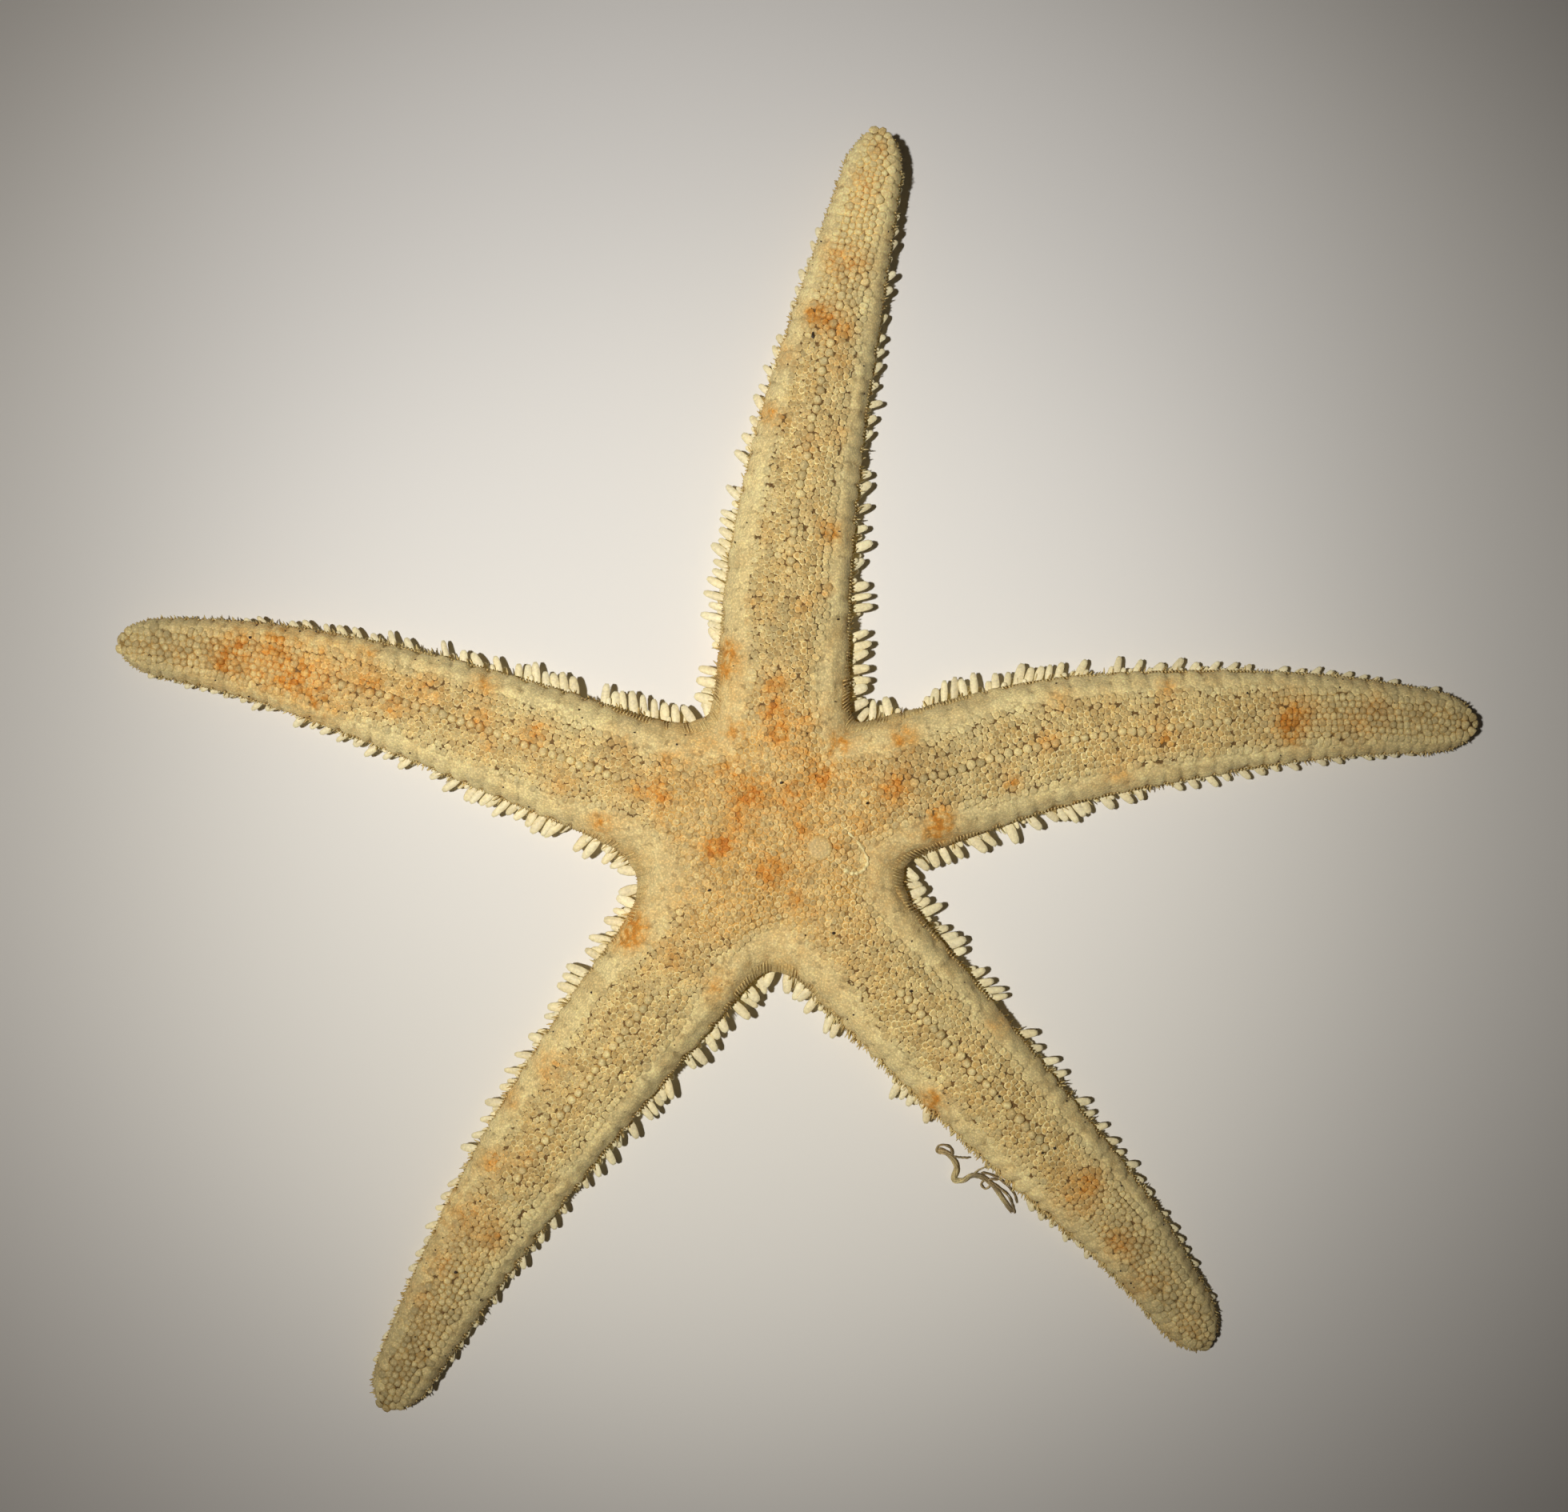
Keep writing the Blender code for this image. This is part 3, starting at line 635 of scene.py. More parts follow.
def calcite(name, base, roughness, bump, glow=0.3, beaded=1.0):
    """Dried calcite skeleton with a film of dried skin: chalky, matt, faintly waxy where it is thin.

    The grain attribute holds the pale rim, the hollow and a chance tone. The hollow darkens towards
    the soil colour: dark skin and painted shade between the crowns, painted shade in the plate
    grooves, the furrows, the crown walls and cups and at the spine roots. The tone also carries
    painted shade at some arm tips. The patch attribute holds the orange stain, the olive dirt and
    the bleaching."""
    settings = bpy.context.scene.starfish
    material, tree = new_material(name)
    place = add(tree, "TexCoord").outputs["Object"]
    grain = add(tree, "Attribute", attribute_name="grain").outputs["Vector"]
    patch = add(tree, "Attribute", attribute_name="patch").outputs["Vector"]
    rim, hollow, tone = add(tree, "SeparateXYZ", {0: grain}).outputs
    stain, dirt, pale = add(tree, "SeparateXYZ", {0: patch}).outputs

    # Blotches about 0.65 mm across break up the edges of the stains and leave only some of the
    # hollows dark. Clouds about 2.5 mm across turn the skin warmer here and paler there. The fine
    # grain is about 0.25 mm across, coarser than the real one so that it shows.
    blotch, cloud, fine = (
        add(tree, "TexNoise", {"Vector": place, "Scale": 1 / (size * MM), "Detail": 4})
        for size in (0.65, 2.5, 0.25)
    )
    ragged, filled, _ = add(tree, "SeparateXYZ", {0: blotch.outputs["Color"]}).outputs
    warm, bleach, _ = add(tree, "SeparateXYZ", {0: cloud.outputs["Color"]}).outputs
    ragged = add(tree, "MapRange", {0: ragged, 1: 0.32, 2: 0.68, 3: 0.4, 4: 1.45})
    filled = add(tree, "MapRange", {0: filled, 1: 0.45, 2: 0.62, 3: -0.95, 4: 0})
    warm = add(tree, "MapRange", {0: warm, 1: 0.42, 2: 0.68, 3: 0, 4: 0.14 * beaded})
    bleach = add(tree, "MapRange", {0: bleach, 1: 0.45, 2: 0.7, 3: 0, 4: 0.7 * beaded})
    hollow = add(
        tree, "Math", {0: hollow, 1: 2, 2: filled}, operation="MULTIPLY_ADD", use_clamp=True,
    )
    stain = add(tree, "Math", {0: stain, 1: warm}, operation="ADD")
    stain = add(tree, "Math", {0: stain, 1: ragged}, operation="MULTIPLY")
    pale = add(tree, "Math", {0: pale, 1: bleach}, operation="ADD")
    depth = add(tree, "MapRange", {0: stain, 1: 0.65, 2: 1.5, 3: 0, 4: 1})
    orange = add(
        tree, "Mix", {0: depth, 6: (*settings.stain, 1), 7: (*settings.deep_stain, 1)},
        data_type="RGBA",
    )

    colour = (*base, 1)
    layers = (
        (rim, (*settings.rim, 1)),
        (pale, (*settings.cream, 1)),
        (dirt, (*settings.olive, 1)),
        (stain, orange),
        (hollow, (*settings.soil_and_shade, 1)),
    )
    for share, over in layers:
        colour = add(
            tree, "Mix", {0: share, 6: colour, 7: over}, data_type="RGBA", clamp_factor=True,
        )
    # Heads of the spinelets that make up each crown and plate, about 0.2 mm apart. They give bumps,
    # and painted light and shade: each head lighter, darker between the heads.
    heads = add(tree, "TexVoronoi", {"Vector": place, "Scale": 1 / (0.2 * MM)}, feature="F1")
    beading = add(
        tree, "MapRange",
        {0: heads, 1: 0.1, 2: 0.6, 3: 1 + 0.25 * beaded, 4: 1 - 0.13 * beaded},
    )
    # Brightness: the chance tone, which carries painted shade at some arm tips, times the heads' painted
    # light and shade and the fine speckle.
    light = add(tree, "MapRange", {0: tone, 1: 0, 2: 1, 3: 0.84, 4: 1.2}, clamp=False)
    speckle = add(tree, "MapRange", {0: fine, 1: 0.3, 2: 0.7, 3: 0.84, 4: 1.14})
    for layer in (beading, speckle):
        light = add(tree, "Math", {0: light, 1: layer}, operation="MULTIPLY")
    colour = add(tree, "HueSaturation", {"Value": light, "Color": colour})
    relief = add(tree, "Math", {0: fine, 1: beading}, operation="ADD")
    normal = add(tree, "Bump", {"Height": relief, "Strength": 0.6, "Distance": bump * MM})
    shader = add(
        tree, "BsdfPrincipled",
        {"Base Color": colour, "Normal": normal, "Roughness": roughness, "IOR": 1.5,
         "Specular IOR Level": 0.35, "Subsurface Weight": glow, "Subsurface Scale": 0.3 * MM,
         "Subsurface Radius": (1.0, 0.75, 0.5)},
    )
    add(tree, "OutputMaterial", {"Surface": shader})
    return material


def arm_grid(index, turns):
    """One arm's grid wrapped from the furrow's roof over the back and down to the roof again."""
    bm = bmesh.new()
    rows = PLATES * len(PLATE_ROWS)
    columns = 2 * (len(turns) - 1)
    bmesh.ops.create_grid(bm, x_segments=columns, y_segments=rows, size=1)
    flat = np.array([vert.co for vert in bm.verts])
    row = np.rint((flat[:, 1] + 1) / 2 * rows).astype(int)
    column = np.rint((flat[:, 0] + 1) / 2 * columns).astype(int)
    side = np.where(column < columns // 2, 1, -1)
    steps = np.array(PLATE_ROWS)
    plate = row // len(steps) + steps[row % len(steps)]
    turn = np.array(turns)[np.abs(column - columns // 2)]
    point = np.zeros((len(flat), 3))
    off = np.zeros((len(flat), 3))
    relief = np.zeros(len(flat))
    grain = np.zeros((len(flat), 3))
    patch = np.zeros((len(flat), 3))
    for way in (1, -1):
        here = side == way
        at, _, _, normal = stand(index, way, plate[here], turn[here])
        point[here] = at
        off[here] = normal
        relief[here], grain[here], patch[here] = skin_finish(index, way, plate[here], turn[here], at)
    point += off * relief[:, None]
    for vert, place in zip(bm.verts, point):
        vert.co = place
    return bm, grain, patch


def lumps(points, size):
    """Smooth chance swellings from -1 to 1 at points in mm, about as wide as the size given."""
    return np.array([noise.noise(Vector(point) / size) for point in points])


def platelets(points):
    """How far points lie from the joints of small irregular plates, from 0 to 1, and the plates'
    chance numbers."""
    rng = np.random.default_rng(61)
    steps = np.arange(-int(70 / PLATELET), int(70 / PLATELET) + 1)
    seeds = np.stack(np.meshgrid(steps, steps), axis=-1).reshape(-1, 2)
    seeds = (seeds + rng.uniform(-0.36, 0.36, seeds.shape)) * PLATELET
    near = near_tree(seeds)
    found = [near.find_n((x, y, 0), 2) for x, y in points[:, :2]]
    inside = np.array([second[2] - first[2] for first, second in found])
    chance = rng.random(len(seeds))[[first[1] for first, _ in found]]
    return ramp(inside, 0.05, 0.55 * PLATELET), chance


def skin_finish(index, side, plate, turn, point):
    """Relief in mm, grain and patch of the skin at plate numbers and turns."""
    share = row_at(index, side, plate)[2]
    start = band_start(index, side, plate)
    number = np.minimum(plate.astype(int), PLATES - 1)
    chance = np.random.default_rng(40 + index * 2 + (side > 0)).random((3, PLATES))[:, number]
    fraction = plate - number
    pillow = 1 - np.abs(2 * fraction - 1) ** 3
    grains = turn < start
    upper = (turn >= start) & (turn < PLATE_GROOVE)
    lower = (turn >= PLATE_GROOVE) & (turn < 1)
    beneath = (turn >= 1) & (turn < 1.5)
    top_across = np.clip((turn - start) / (PLATE_GROOVE - start), 0, 1)
    low_across = np.clip((turn - PLATE_GROOVE) / (1.0 - PLATE_GROOVE), 0, 1)
    bulge = np.where(upper, 1 - np.abs(2 * top_across - 1) ** 4, 0)
    bulge = np.where(lower, 1 - np.abs(2 * low_across - 1) ** 4, bulge)
    amount = between((0.10, 0.17), ramp(share, 0.2, 0.8)) + 0.06 * ramp(turn, 0.44, 0.6)
    pillow = np.where(plate < 1, np.maximum(pillow, 1 - fraction), pillow)
    relief = amount * (pillow * bulge - 0.45) * (upper | lower)
    relief = relief - 0.1 * grains * ramp(start - turn, 0, 0.03)
    inside, luck = platelets(point)
    soft = upper * (1 - ramp(share, 0.7, 0.85))
    relief = relief + soft * (0.17 * (inside - 0.5) + 0.12 * lumps(point, 2.5))
    relief = relief - 0.14 * beneath * (1 - pillow)
    relief = relief * (1 - ramp(share, 0.965, 0.995))

    # The groove and hollow values darken the skin to the soil colour: painted shade in the grooves between
    # the edge plates and inside the furrow under the arm; between the crowns partly dark skin, partly
    # painted shade in the gaps.
    groove = (1 - pillow * bulge) * (upper | lower) * (turn < 0.9)
    tip = ramp(share, 0.62, 0.88)
    disc = 1 - ramp(np.linalg.norm(point[:, :2], axis=1), 8, 15)
    hollow = grains * between((1.0, 0.5), tip) * between((1, 0.27), disc)
    hollow = hollow + 0.25 * groove + 0.6 * (turn > 1.52)
    rim = np.where(upper | lower, 0.35 + 0.4 * chance[0], 0.1)
    wall = ramp(turn - wall_start(share), -0.06, 0.06) * (1 - ramp(turn, 0.9, 1.05))
    olive = wall * between((0.8, 0.5), share) * (0.75 + 0.5 * chance[1])
    cream = (upper & (turn < wall_start(share))) * (0.45 + 0.5 * luck) * (0.75 + 0.25 * inside)
    tone = np.where(grains, 0.3, 0.2 + 0.4 * chance[1] + 0.3 * luck + 0.25 * inside * soft)
    # The tone also takes the painted shade of the light falling off at some arm tips.
    tone = tone + spots(TONES_AND_TIP_FALLOFF_SHADE, point, -1)
    grain = np.stack([rim, np.clip(hollow, 0, 1), tone], axis=-1)
    return relief, grain, patches(point, cream, np.clip(olive, 0, 1), 1 - ramp(turn, 0.8, 1.1))


def section_turns():
    """Turns of the skin's columns: close together on the edge plates, wider elsewhere."""
    back, plates, under, furrow = COLUMNS
    return np.concatenate([
        np.linspace(0, 0.2, back, endpoint=False),
        np.linspace(0.2, 1, plates, endpoint=False),
        np.linspace(1, 1.5, under, endpoint=False),
        np.linspace(1.5, 2, furrow + 1),
    ])


class STARFISH_OT_skin(bpy.types.Operator):
    """Builds the skin: five arms joined into one body, with the plates and grooves of its edges"""

    bl_idname = "starfish.skin"
    bl_label = "Skin"

    def execute(self, context):
        whole = bmesh.new()
        grain_layer = whole.verts.layers.float_vector.new("grain")
        patch_layer = whole.verts.layers.float_vector.new("patch")
        for index in range(len(ARMS)):
            bm, grain, patch = arm_grid(index, section_turns())
            copies = {}
            for vert, rim, mark in zip(bm.verts, grain, patch):
                made = whole.verts.new(vert.co)
                made[grain_layer] = Vector(rim)
                made[patch_layer] = Vector(mark)
                copies[vert] = made
            for face in bm.faces:
                whole.faces.new([copies[vert] for vert in face.verts])
            bm.free()
        bmesh.ops.remove_doubles(whole, verts=whole.verts[:], dist=0.004)
        bmesh.ops.dissolve_degenerate(whole, edges=whole.edges[:], dist=0.002)
        bmesh.ops.recalc_face_normals(whole, faces=whole.faces[:])
        shift = Vector((*DISC_CENTRE, 0))
        for vert in whole.verts:
            vert.co = (Vector((vert.co.x, vert.co.y, max(vert.co.z, LOWEST))) + shift) * MM
        mesh = bpy.data.meshes.new("dried_skin")
        whole.to_mesh(mesh)
        whole.free()
        mesh.shade_smooth()
        material = calcite("dried_calcite_skin", context.scene.starfish.crown, 0.8, 0.05)
        piece = add_piece("dried_skin", mesh, material)
        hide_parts("starfish")
        return {"FINISHED"}


# Places tried for the crowns, room taken by a bead in mm, and rounds of pushing crowns apart.
CROWN_TRIES = 190000
BEAD_ROOM = 0.86
PUSHES = 12

# A crown's sides, and its profile as shares of its radius with the rim's ring turned down.
CROWN_SIDES = 9
CROWN_PROFILE = ((0.0, 0.0), (0.52, 0.0), (0.86, 0.0), (1.0, -1.0))

# Heights in mm of that profile's four rings, from the middle out: flat crowns of the arms, round
# ones near the tips and hollow ones of the disc. Then how bright the rings of a flat and of a round
# crown are.
FLAT_TOP = np.array([0.09, 0.09, 0.12, -0.3])
ROUND_TOP = np.array([0.22, 0.18, 0.08, -0.3])
HOLLOW_TOP = np.array([0.0, 0.12, 0.14, -0.3])
FLAT_RIM = np.array([0.0, 0.05, 1.0, 0.9])
ROUND_RIM = np.array([0.8, 0.7, 0.3, 0.1])

# Share of the crowns with a pit in their side, and how much of the radius is left there.
PITTED = 0.16
PIT = ((-1, 0.85), (0, 0.5), (1, 0.85))


def grain_field(widened=0.0):
    """The area of the back that carries grain crowns, or all of it up to a turn, as a tree for
    looking straight down on it, with the arm, the side, the plate and the share of the way to the
    edge of each of its faces."""
    plates = np.linspace(0, PLATES, PLATES * 2 + 1)
    points, faces, owners = [], [], []
    across = np.linspace(0, 1, 11)
    for index in range(len(ARMS)):
        for side in (1, -1):
            start = np.maximum(band_start(index, side, plates), widened)
            grid = surface(index, side, plates[:, None] + 0 * across, start[:, None] * across)
            first = len(points)
            points.extend(map(tuple, grid.reshape(-1, 3)))
            for row in range(len(plates) - 1):
                for column in range(len(across) - 1):
                    corner = first + row * len(across) + column
                    beside = corner + len(across)
                    face = (corner, beside, beside + 1, corner + 1)
                    faces.append(face if side < 0 else face[::-1])
                    owners.append((index, side, plates[row] + 0.25, across[column] + 0.05))
    return BVHTree.FromPolygons(points, faces), owners, np.array(points), np.array(faces)


def off_sieve(x, y):
    """Whether a crown here stays clear of the sieve plate."""
    return math.hypot(x - SIEVE_PLACE[0], y - SIEVE_PLACE[1]) > SIEVE_RADIUS + SIEVE_MARGIN


def crown_pitch(share, settings):
    """Distance between neighbouring crowns at shares of the length, in mm."""
    pitches = [value / MM for value in
               (settings.disc_pitch, settings.middle_pitch, settings.tip_pitch)]
    return np.interp(share, (0.12, 0.3, 0.6, 0.85), (pitches[0], *pitches[1:2] * 2, pitches[2]))


def drop(tree, x, y):
    """The point and the face straight below a place, or None."""
    place, _, face, _ = tree.ray_cast(Vector((x, y, 50)), Vector((0, 0, -1)))
    return None if place is None else (np.array(place), face)


def slope_at(tree, place):
    """Direction off the skin, from the heights a little way off on four sides."""
    step = 0.45
    heights = []
    for x, y in ((step, 0), (-step, 0), (0, step), (0, -step)):
        hit = drop(tree, place[0] + x, place[1] + y)
        heights.append(place[2] if hit is None else hit[0][2])
    right, left, far, near = heights
    return unit(np.array([left - right, near - far, 2 * step]))


def spread_crowns(settings):
    """Places of the beads and the crowns on the back, spread evenly at the local pitch."""
    rng = np.random.default_rng(11)
    tree, owners, points, faces = grain_field()
    beads = []
    paleness = []
    for arm in ARMS:
        first, last, pale = arm["beads"]
        steps = np.arange(first * arm["length"], last * arm["length"], settings.bead_pitch / MM)
        line, left = middle_line(arm, steps / arm["length"])
        sway = 0.08 * rng.standard_normal(len(line))
        beads.append(line + left * sway[:, None])
        paleness.extend(pale * np.clip(1 - 0.3 * rng.standard_normal(len(line)), 0.2, 1.6))
    beads = np.concatenate(beads)

    corners = points[faces][..., :2]
    first = corners[:, 1] - corners[:, 0]
    second = corners[:, 3] - corners[:, 0]
    area = np.abs(first[:, 0] * second[:, 1] - first[:, 1] * second[:, 0])
    chosen = rng.choice(len(faces), CROWN_TRIES, p=area / area.sum())
    mix = rng.random((CROWN_TRIES, 2, 1))
    spot = corners[chosen]
    low = spot[:, 0] + (spot[:, 1] - spot[:, 0]) * mix[:, 0]
    high = spot[:, 3] + (spot[:, 2] - spot[:, 3]) * mix[:, 0]
    spot = low + (high - low) * mix[:, 1]
    shares = np.array([
        float(row_at(owners[face][0], 1, owners[face][2])[2]) for face in range(len(faces))
    ])
    pitch = crown_pitch(shares, settings)[chosen]

    kept = [tuple(bead) for bead in beads]
    room = [BEAD_ROOM] * len(kept)
    cells = {}
    for number, (x, y) in enumerate(kept):
        cells.setdefault((int(x // 1), int(y // 1)), []).append(number)
    for (x, y), size in zip(spot, pitch):
        near = [
            number
            for i in (-1, 0, 1)
            for j in (-1, 0, 1)
            for number in cells.get((int(x // 1) + i, int(y // 1) + j), ())
        ]
        clear = all(
            (kept[n][0] - x) ** 2 + (kept[n][1] - y) ** 2 > (0.77 * (size + room[n]) / 2) ** 2
            for n in near
        )
        if clear and off_sieve(x, y):
            cells.setdefault((int(x // 1), int(y // 1)), []).append(len(kept))
            kept.append((x, y))
            room.append(size * rng.uniform(0.82, 1.18))
    return relax(tree, owners, np.array(kept), np.array(room), paleness, settings)


def row_pull(places, arms, settings):
    """Shifts that draw the crowns of an arm into rows along it."""
    share = np.linspace(0, 1, 400)
    shift = np.zeros_like(places)
    for index, arm in enumerate(ARMS):
        line, left = middle_line(arm, share)
        here = np.flatnonzero(arms == index)
        nearest = ((places[here, None] - line) ** 2).sum(axis=2).argmin(axis=1)
        away = ((places[here] - line[nearest]) * left[nearest]).sum(axis=1)
        rows = crown_pitch(share[nearest], settings) * 0.9
        pull = (np.rint(away / rows) * rows - away) * 0.2 * ramp(share[nearest], 0.22, 0.4)
        shift[here] = left[nearest] * pull[:, None]
    return shift


def relax(tree, owners, places, room, paleness, settings):
    """Pushes crowded crowns apart. The first ones, the beads, stay where they are. Gives each
    crown's place, direction off the skin, room, bead or not, arm, share of the way to the edge and
    paleness."""
    fixed = len(paleness)
    hits = [drop(tree, x, y) for x, y in places]
    arms = np.array([-1 if hit is None else owners[hit[1]][0] for hit in hits])
    for _ in range(PUSHES):
        near = near_tree(places)
        moved = places.copy()
        for number in range(fixed, len(places)):
            x, y = places[number]
            push = np.zeros(2)
            for _, which, apart in near.find_n((x, y, 0), 7)[1:]:
                wanted = (room[number] + room[which]) / 2
                if 0 < apart < wanted:
                    push += (places[number] - places[which]) / apart * (wanted - apart) * 0.4
            moved[number] += push
        moved[fixed:] += row_pull(moved[fixed:], arms[fixed:], settings)
        for number in range(fixed, len(places)):
            x, y = moved[number]
            if off_sieve(x, y) and drop(tree, x, y) is not None:
                places[number] = moved[number]
    crowns = []
    for number, (x, y) in enumerate(places):
        hit = drop(tree, x, y)
        if hit is not None:
            index, _, _, edge = owners[hit[1]]
            off = slope_at(tree, hit[0])
            pale = paleness[number] if number < fixed else 0
            crowns.append((*hit[0], *off, room[number], number < fixed, index, edge, pale))
    return np.array(crowns, float)


def crown_form():
    """A round crown: ring and direction of each point, and its faces."""
    points, faces = spun_form(CROWN_PROFILE, CROWN_SIDES)
    radius = np.hypot(points[:, 0], points[:, 1])
    ring = np.argmin(np.abs(radius[:, None] - [step[0] for step in CROWN_PROFILE]), axis=1)
    angle = np.arctan2(points[:, 1], points[:, 0])
    return ring, np.rint(angle / math.tau * CROWN_SIDES).astype(int) % CROWN_SIDES, faces


def cell_radii(places, room, cap):
    """How far each crown reaches in each direction before it meets its neighbours, in mm, with a
    cap given as a share of the distance to them."""
    near = near_tree(places)
    others = np.array([[which for _, which, _ in near.find_n(place, 9)][1:] for place in places])
    apart = places[others] - places[:, None]
    distance = np.linalg.norm(apart[..., :2], axis=-1)
    heading = np.arctan2(apart[..., 1], apart[..., 0])
    part = room[:, None] / (room[:, None] + room[others])
    directions = np.arange(CROWN_SIDES) * math.tau / CROWN_SIDES
    turn = np.cos(directions[None, :, None] - heading[:, None, :])
    reach = np.where(turn > 0.15, (distance * part)[:, None, :] / np.maximum(turn, 0.15), 9.0)
    spacing = np.sort(distance, axis=1)[:, :6].mean(axis=1)
    return np.minimum(reach.min(axis=2) + 0.03, spacing[:, None] * cap[:, None])


class STARFISH_OT_crowns(bpy.types.Operator):
    """Builds the grain crowns of the back and the row of beads down the middle of each arm"""

    bl_idname = "starfish.crowns"
    bl_label = "Grain crowns"

    def execute(self, context):
        settings = context.scene.starfish
        rng = np.random.default_rng(23)
        found = spread_crowns(settings)
        place, off = found[:, 0:3], found[:, 3:6]
        room, bead, arm = found[:, 6], found[:, 7] > 0.5, found[:, 8].astype(int)
        away = np.linalg.norm(place[:, :2], axis=1)
        length = np.array([item["length"] for item in ARMS])[arm]
        tip = ramp(away / length, 0.6, 0.84)
        disc = 1 - ramp(away, 8, 15)
        edge = ramp(found[:, 9], 0.62, 1.0)
        ring, direction, faces = crown_form()
        number = len(place)
        cap = between((0.66, 0.47), disc) * rng.uniform(0.93, 1.07, number)
        radii = cell_radii(place, room, cap)
        radii = np.maximum(radii * (1 + 0.045 * rng.standard_normal((number, CROWN_SIDES))), 0.08)

        pit = (rng.random(number) < PITTED * (1 - tip)) & ~bead
        pit_way = rng.integers(0, CROWN_SIDES, number)
        for turn, left in PIT:
            radii[pit, (pit_way[pit] + turn) % CROWN_SIDES] *= left

        rounded = np.clip(tip * 0.85 + rng.uniform(-0.3, 0.4, number) + 0.9 * bead, 0, 1)
        hollowed = disc * (rng.random(number) < 0.55) * ~bead
        height = (
            (1 - rounded)[:, None] * FLAT_TOP + rounded[:, None] * ROUND_TOP
        ) * (1 - hollowed)[:, None] + hollowed[:, None] * HOLLOW_TOP
        height = height * (room / 0.7 * (1 - 0.5 * edge))[:, None]
        height = height + (rng.normal(0, 0.025, number) + 0.06 * bead)[:, None]
        height = height[:, ring] + 0.02 * rng.standard_normal((number, len(ring))) * (ring > 0)

        side = unit(np.cross([0.0, 1.0, 0.0], off))
        angle = direction * math.tau / CROWN_SIDES
        spread = np.array([step[0] for step in CROWN_PROFILE])[ring] * radii[:, direction]
        copies = (
            place[:, None]
            + side[:, None] * (spread * np.cos(angle))[..., None]
            + np.cross(off, side)[:, None] * (spread * np.sin(angle))[..., None]
            + off[:, None] * height[..., None]
        )
        kind = {"tip": tip, "disc": disc, "edge": edge, "round": rounded, "hollow": hollowed}
        grain, patch = self.tints(rng, place, ring, kind, found[:, 10])
        material = calcite("grain_crown_calcite", settings.crown, 0.7, 0.04)
        for index, item in enumerate(ARMS):
            here = arm == index
            name = "grain_crowns_" + item["name"]
            mesh = joined_mesh(name, [(faces, copies[here], grain[here], patch[here])])
            add_piece(name, mesh, material)
        return {"FINISHED"}

    @staticmethod
    def tints(rng, place, ring, kind, paleness):
        """Grain and patch of the crowns' points, from how far each crown is of every kind."""
        tip, disc, edge, rounded, hollowed = (
            kind[key] for key in ("tip", "disc", "edge", "round", "hollow")
        )
        number = len(place)
        rim = (1 - rounded)[:, None] * FLAT_RIM + rounded[:, None] * ROUND_RIM
        bright = np.where(hollowed > 0.3, rng.uniform(0.8, 1.6, number), rng.uniform(0.5, 1.3, number))
        rim = rim[:, ring] * np.maximum(bright, rounded)[:, None]
        rim = rim + rng.normal(0, 0.12, (number, len(ring)))
        # Painted shade, mixed to the soil colour: on each crown's low outer ring where it dips into the
        # gaps, and in the middle of the cup-shaped crowns.
        painted_shade = (ring == 3) * 0.12 + (ring == 0) * hollowed[:, None] * 0.5
        painted_shade = painted_shade * (between((1, 0.7), tip) * (1 - 0.6 * edge))[:, None]
        tone = np.broadcast_to(np.clip(rng.normal(0.5, 0.3, number), 0, 1)[:, None], rim.shape)
        grain = np.clip(np.stack([rim, painted_shade, tone], axis=-1), 0, 1)
        # The crowns' tone also takes the painted shade of the light falling off at some arm tips.
        grain[..., 2] += spots(TONES_AND_TIP_FALLOFF_SHADE, place, -1)[:, None]
        cream = 0.55 * paleness + 0.6 * (rng.random(number) < 0.05) + 0.35 * tip + 0.55 * edge
        olive = 0.35 * ramp(rng.random(number), 0.6, 1) * (1 - tip) * (1 - edge)
        patch = patches(place, cream, olive)
        patch[:, 0] *= rng.uniform(0.75, 1.25, number)
        core = np.minimum((1 - tip) * (1 - edge) * (1 - rounded) * (1 - 0.6 * disc), 1)
        patch = np.repeat(patch[:, None], len(ring), axis=1)
        patch[:, ring < 2, 1] = np.maximum(patch[:, ring < 2, 1], 0.3 * core[:, None])
        return grain, patch


# Rows of edge spines: turn of the main one, then how far along the plate, at what turn and how
# long the lower ones stand. Then the spines in a notch: side, plate and length.
MAIN_ROW = 0.68
LOWER_ROWS = ((-0.3, 0.80, 0.62), (0.25, 0.86, 0.55))
NOTCH_SPINES = ((1, 0.03, 0.68), (1, 0.7, 0.74), (-1, 0.7, 0.74))

# Edge spines by the notch and at the tip: lean towards the tip in degrees, length at the tip,
# breadth and thickness in mm.
LEAN = (14, 72)
TIP_SPINE_LENGTH = 0.75
SPINE_BREADTH = (1.0, 0.55)
SPINE_THICKNESS = (0.27, 0.18)


def is_worn(arm, side, share):
    """Whether the spines are worn off here."""
    return any(
        name == arm["name"] and worn_side == side and first <= share <= last
        for name, worn_side, first, last in WORN
    )


def edge_spines():
    """Places of the main edge spines: arm, side, plate number and share of the length."""
    found = []
    for index, arm in enumerate(ARMS):
        for side in (1, -1):
            for plate in range(FIRST_SPINE_PLATE, PLATES + 1):
                share = float(row_at(index, side, plate - 0.5)[2])
                if share > LAST_SPINE_AT or is_worn(arm, side, share):
                    continue
                if (plate + len(arm["name"]) + side) % MISSING_EVERY == 0:
                    continue
                found.append((index, side, plate, share))
    return found


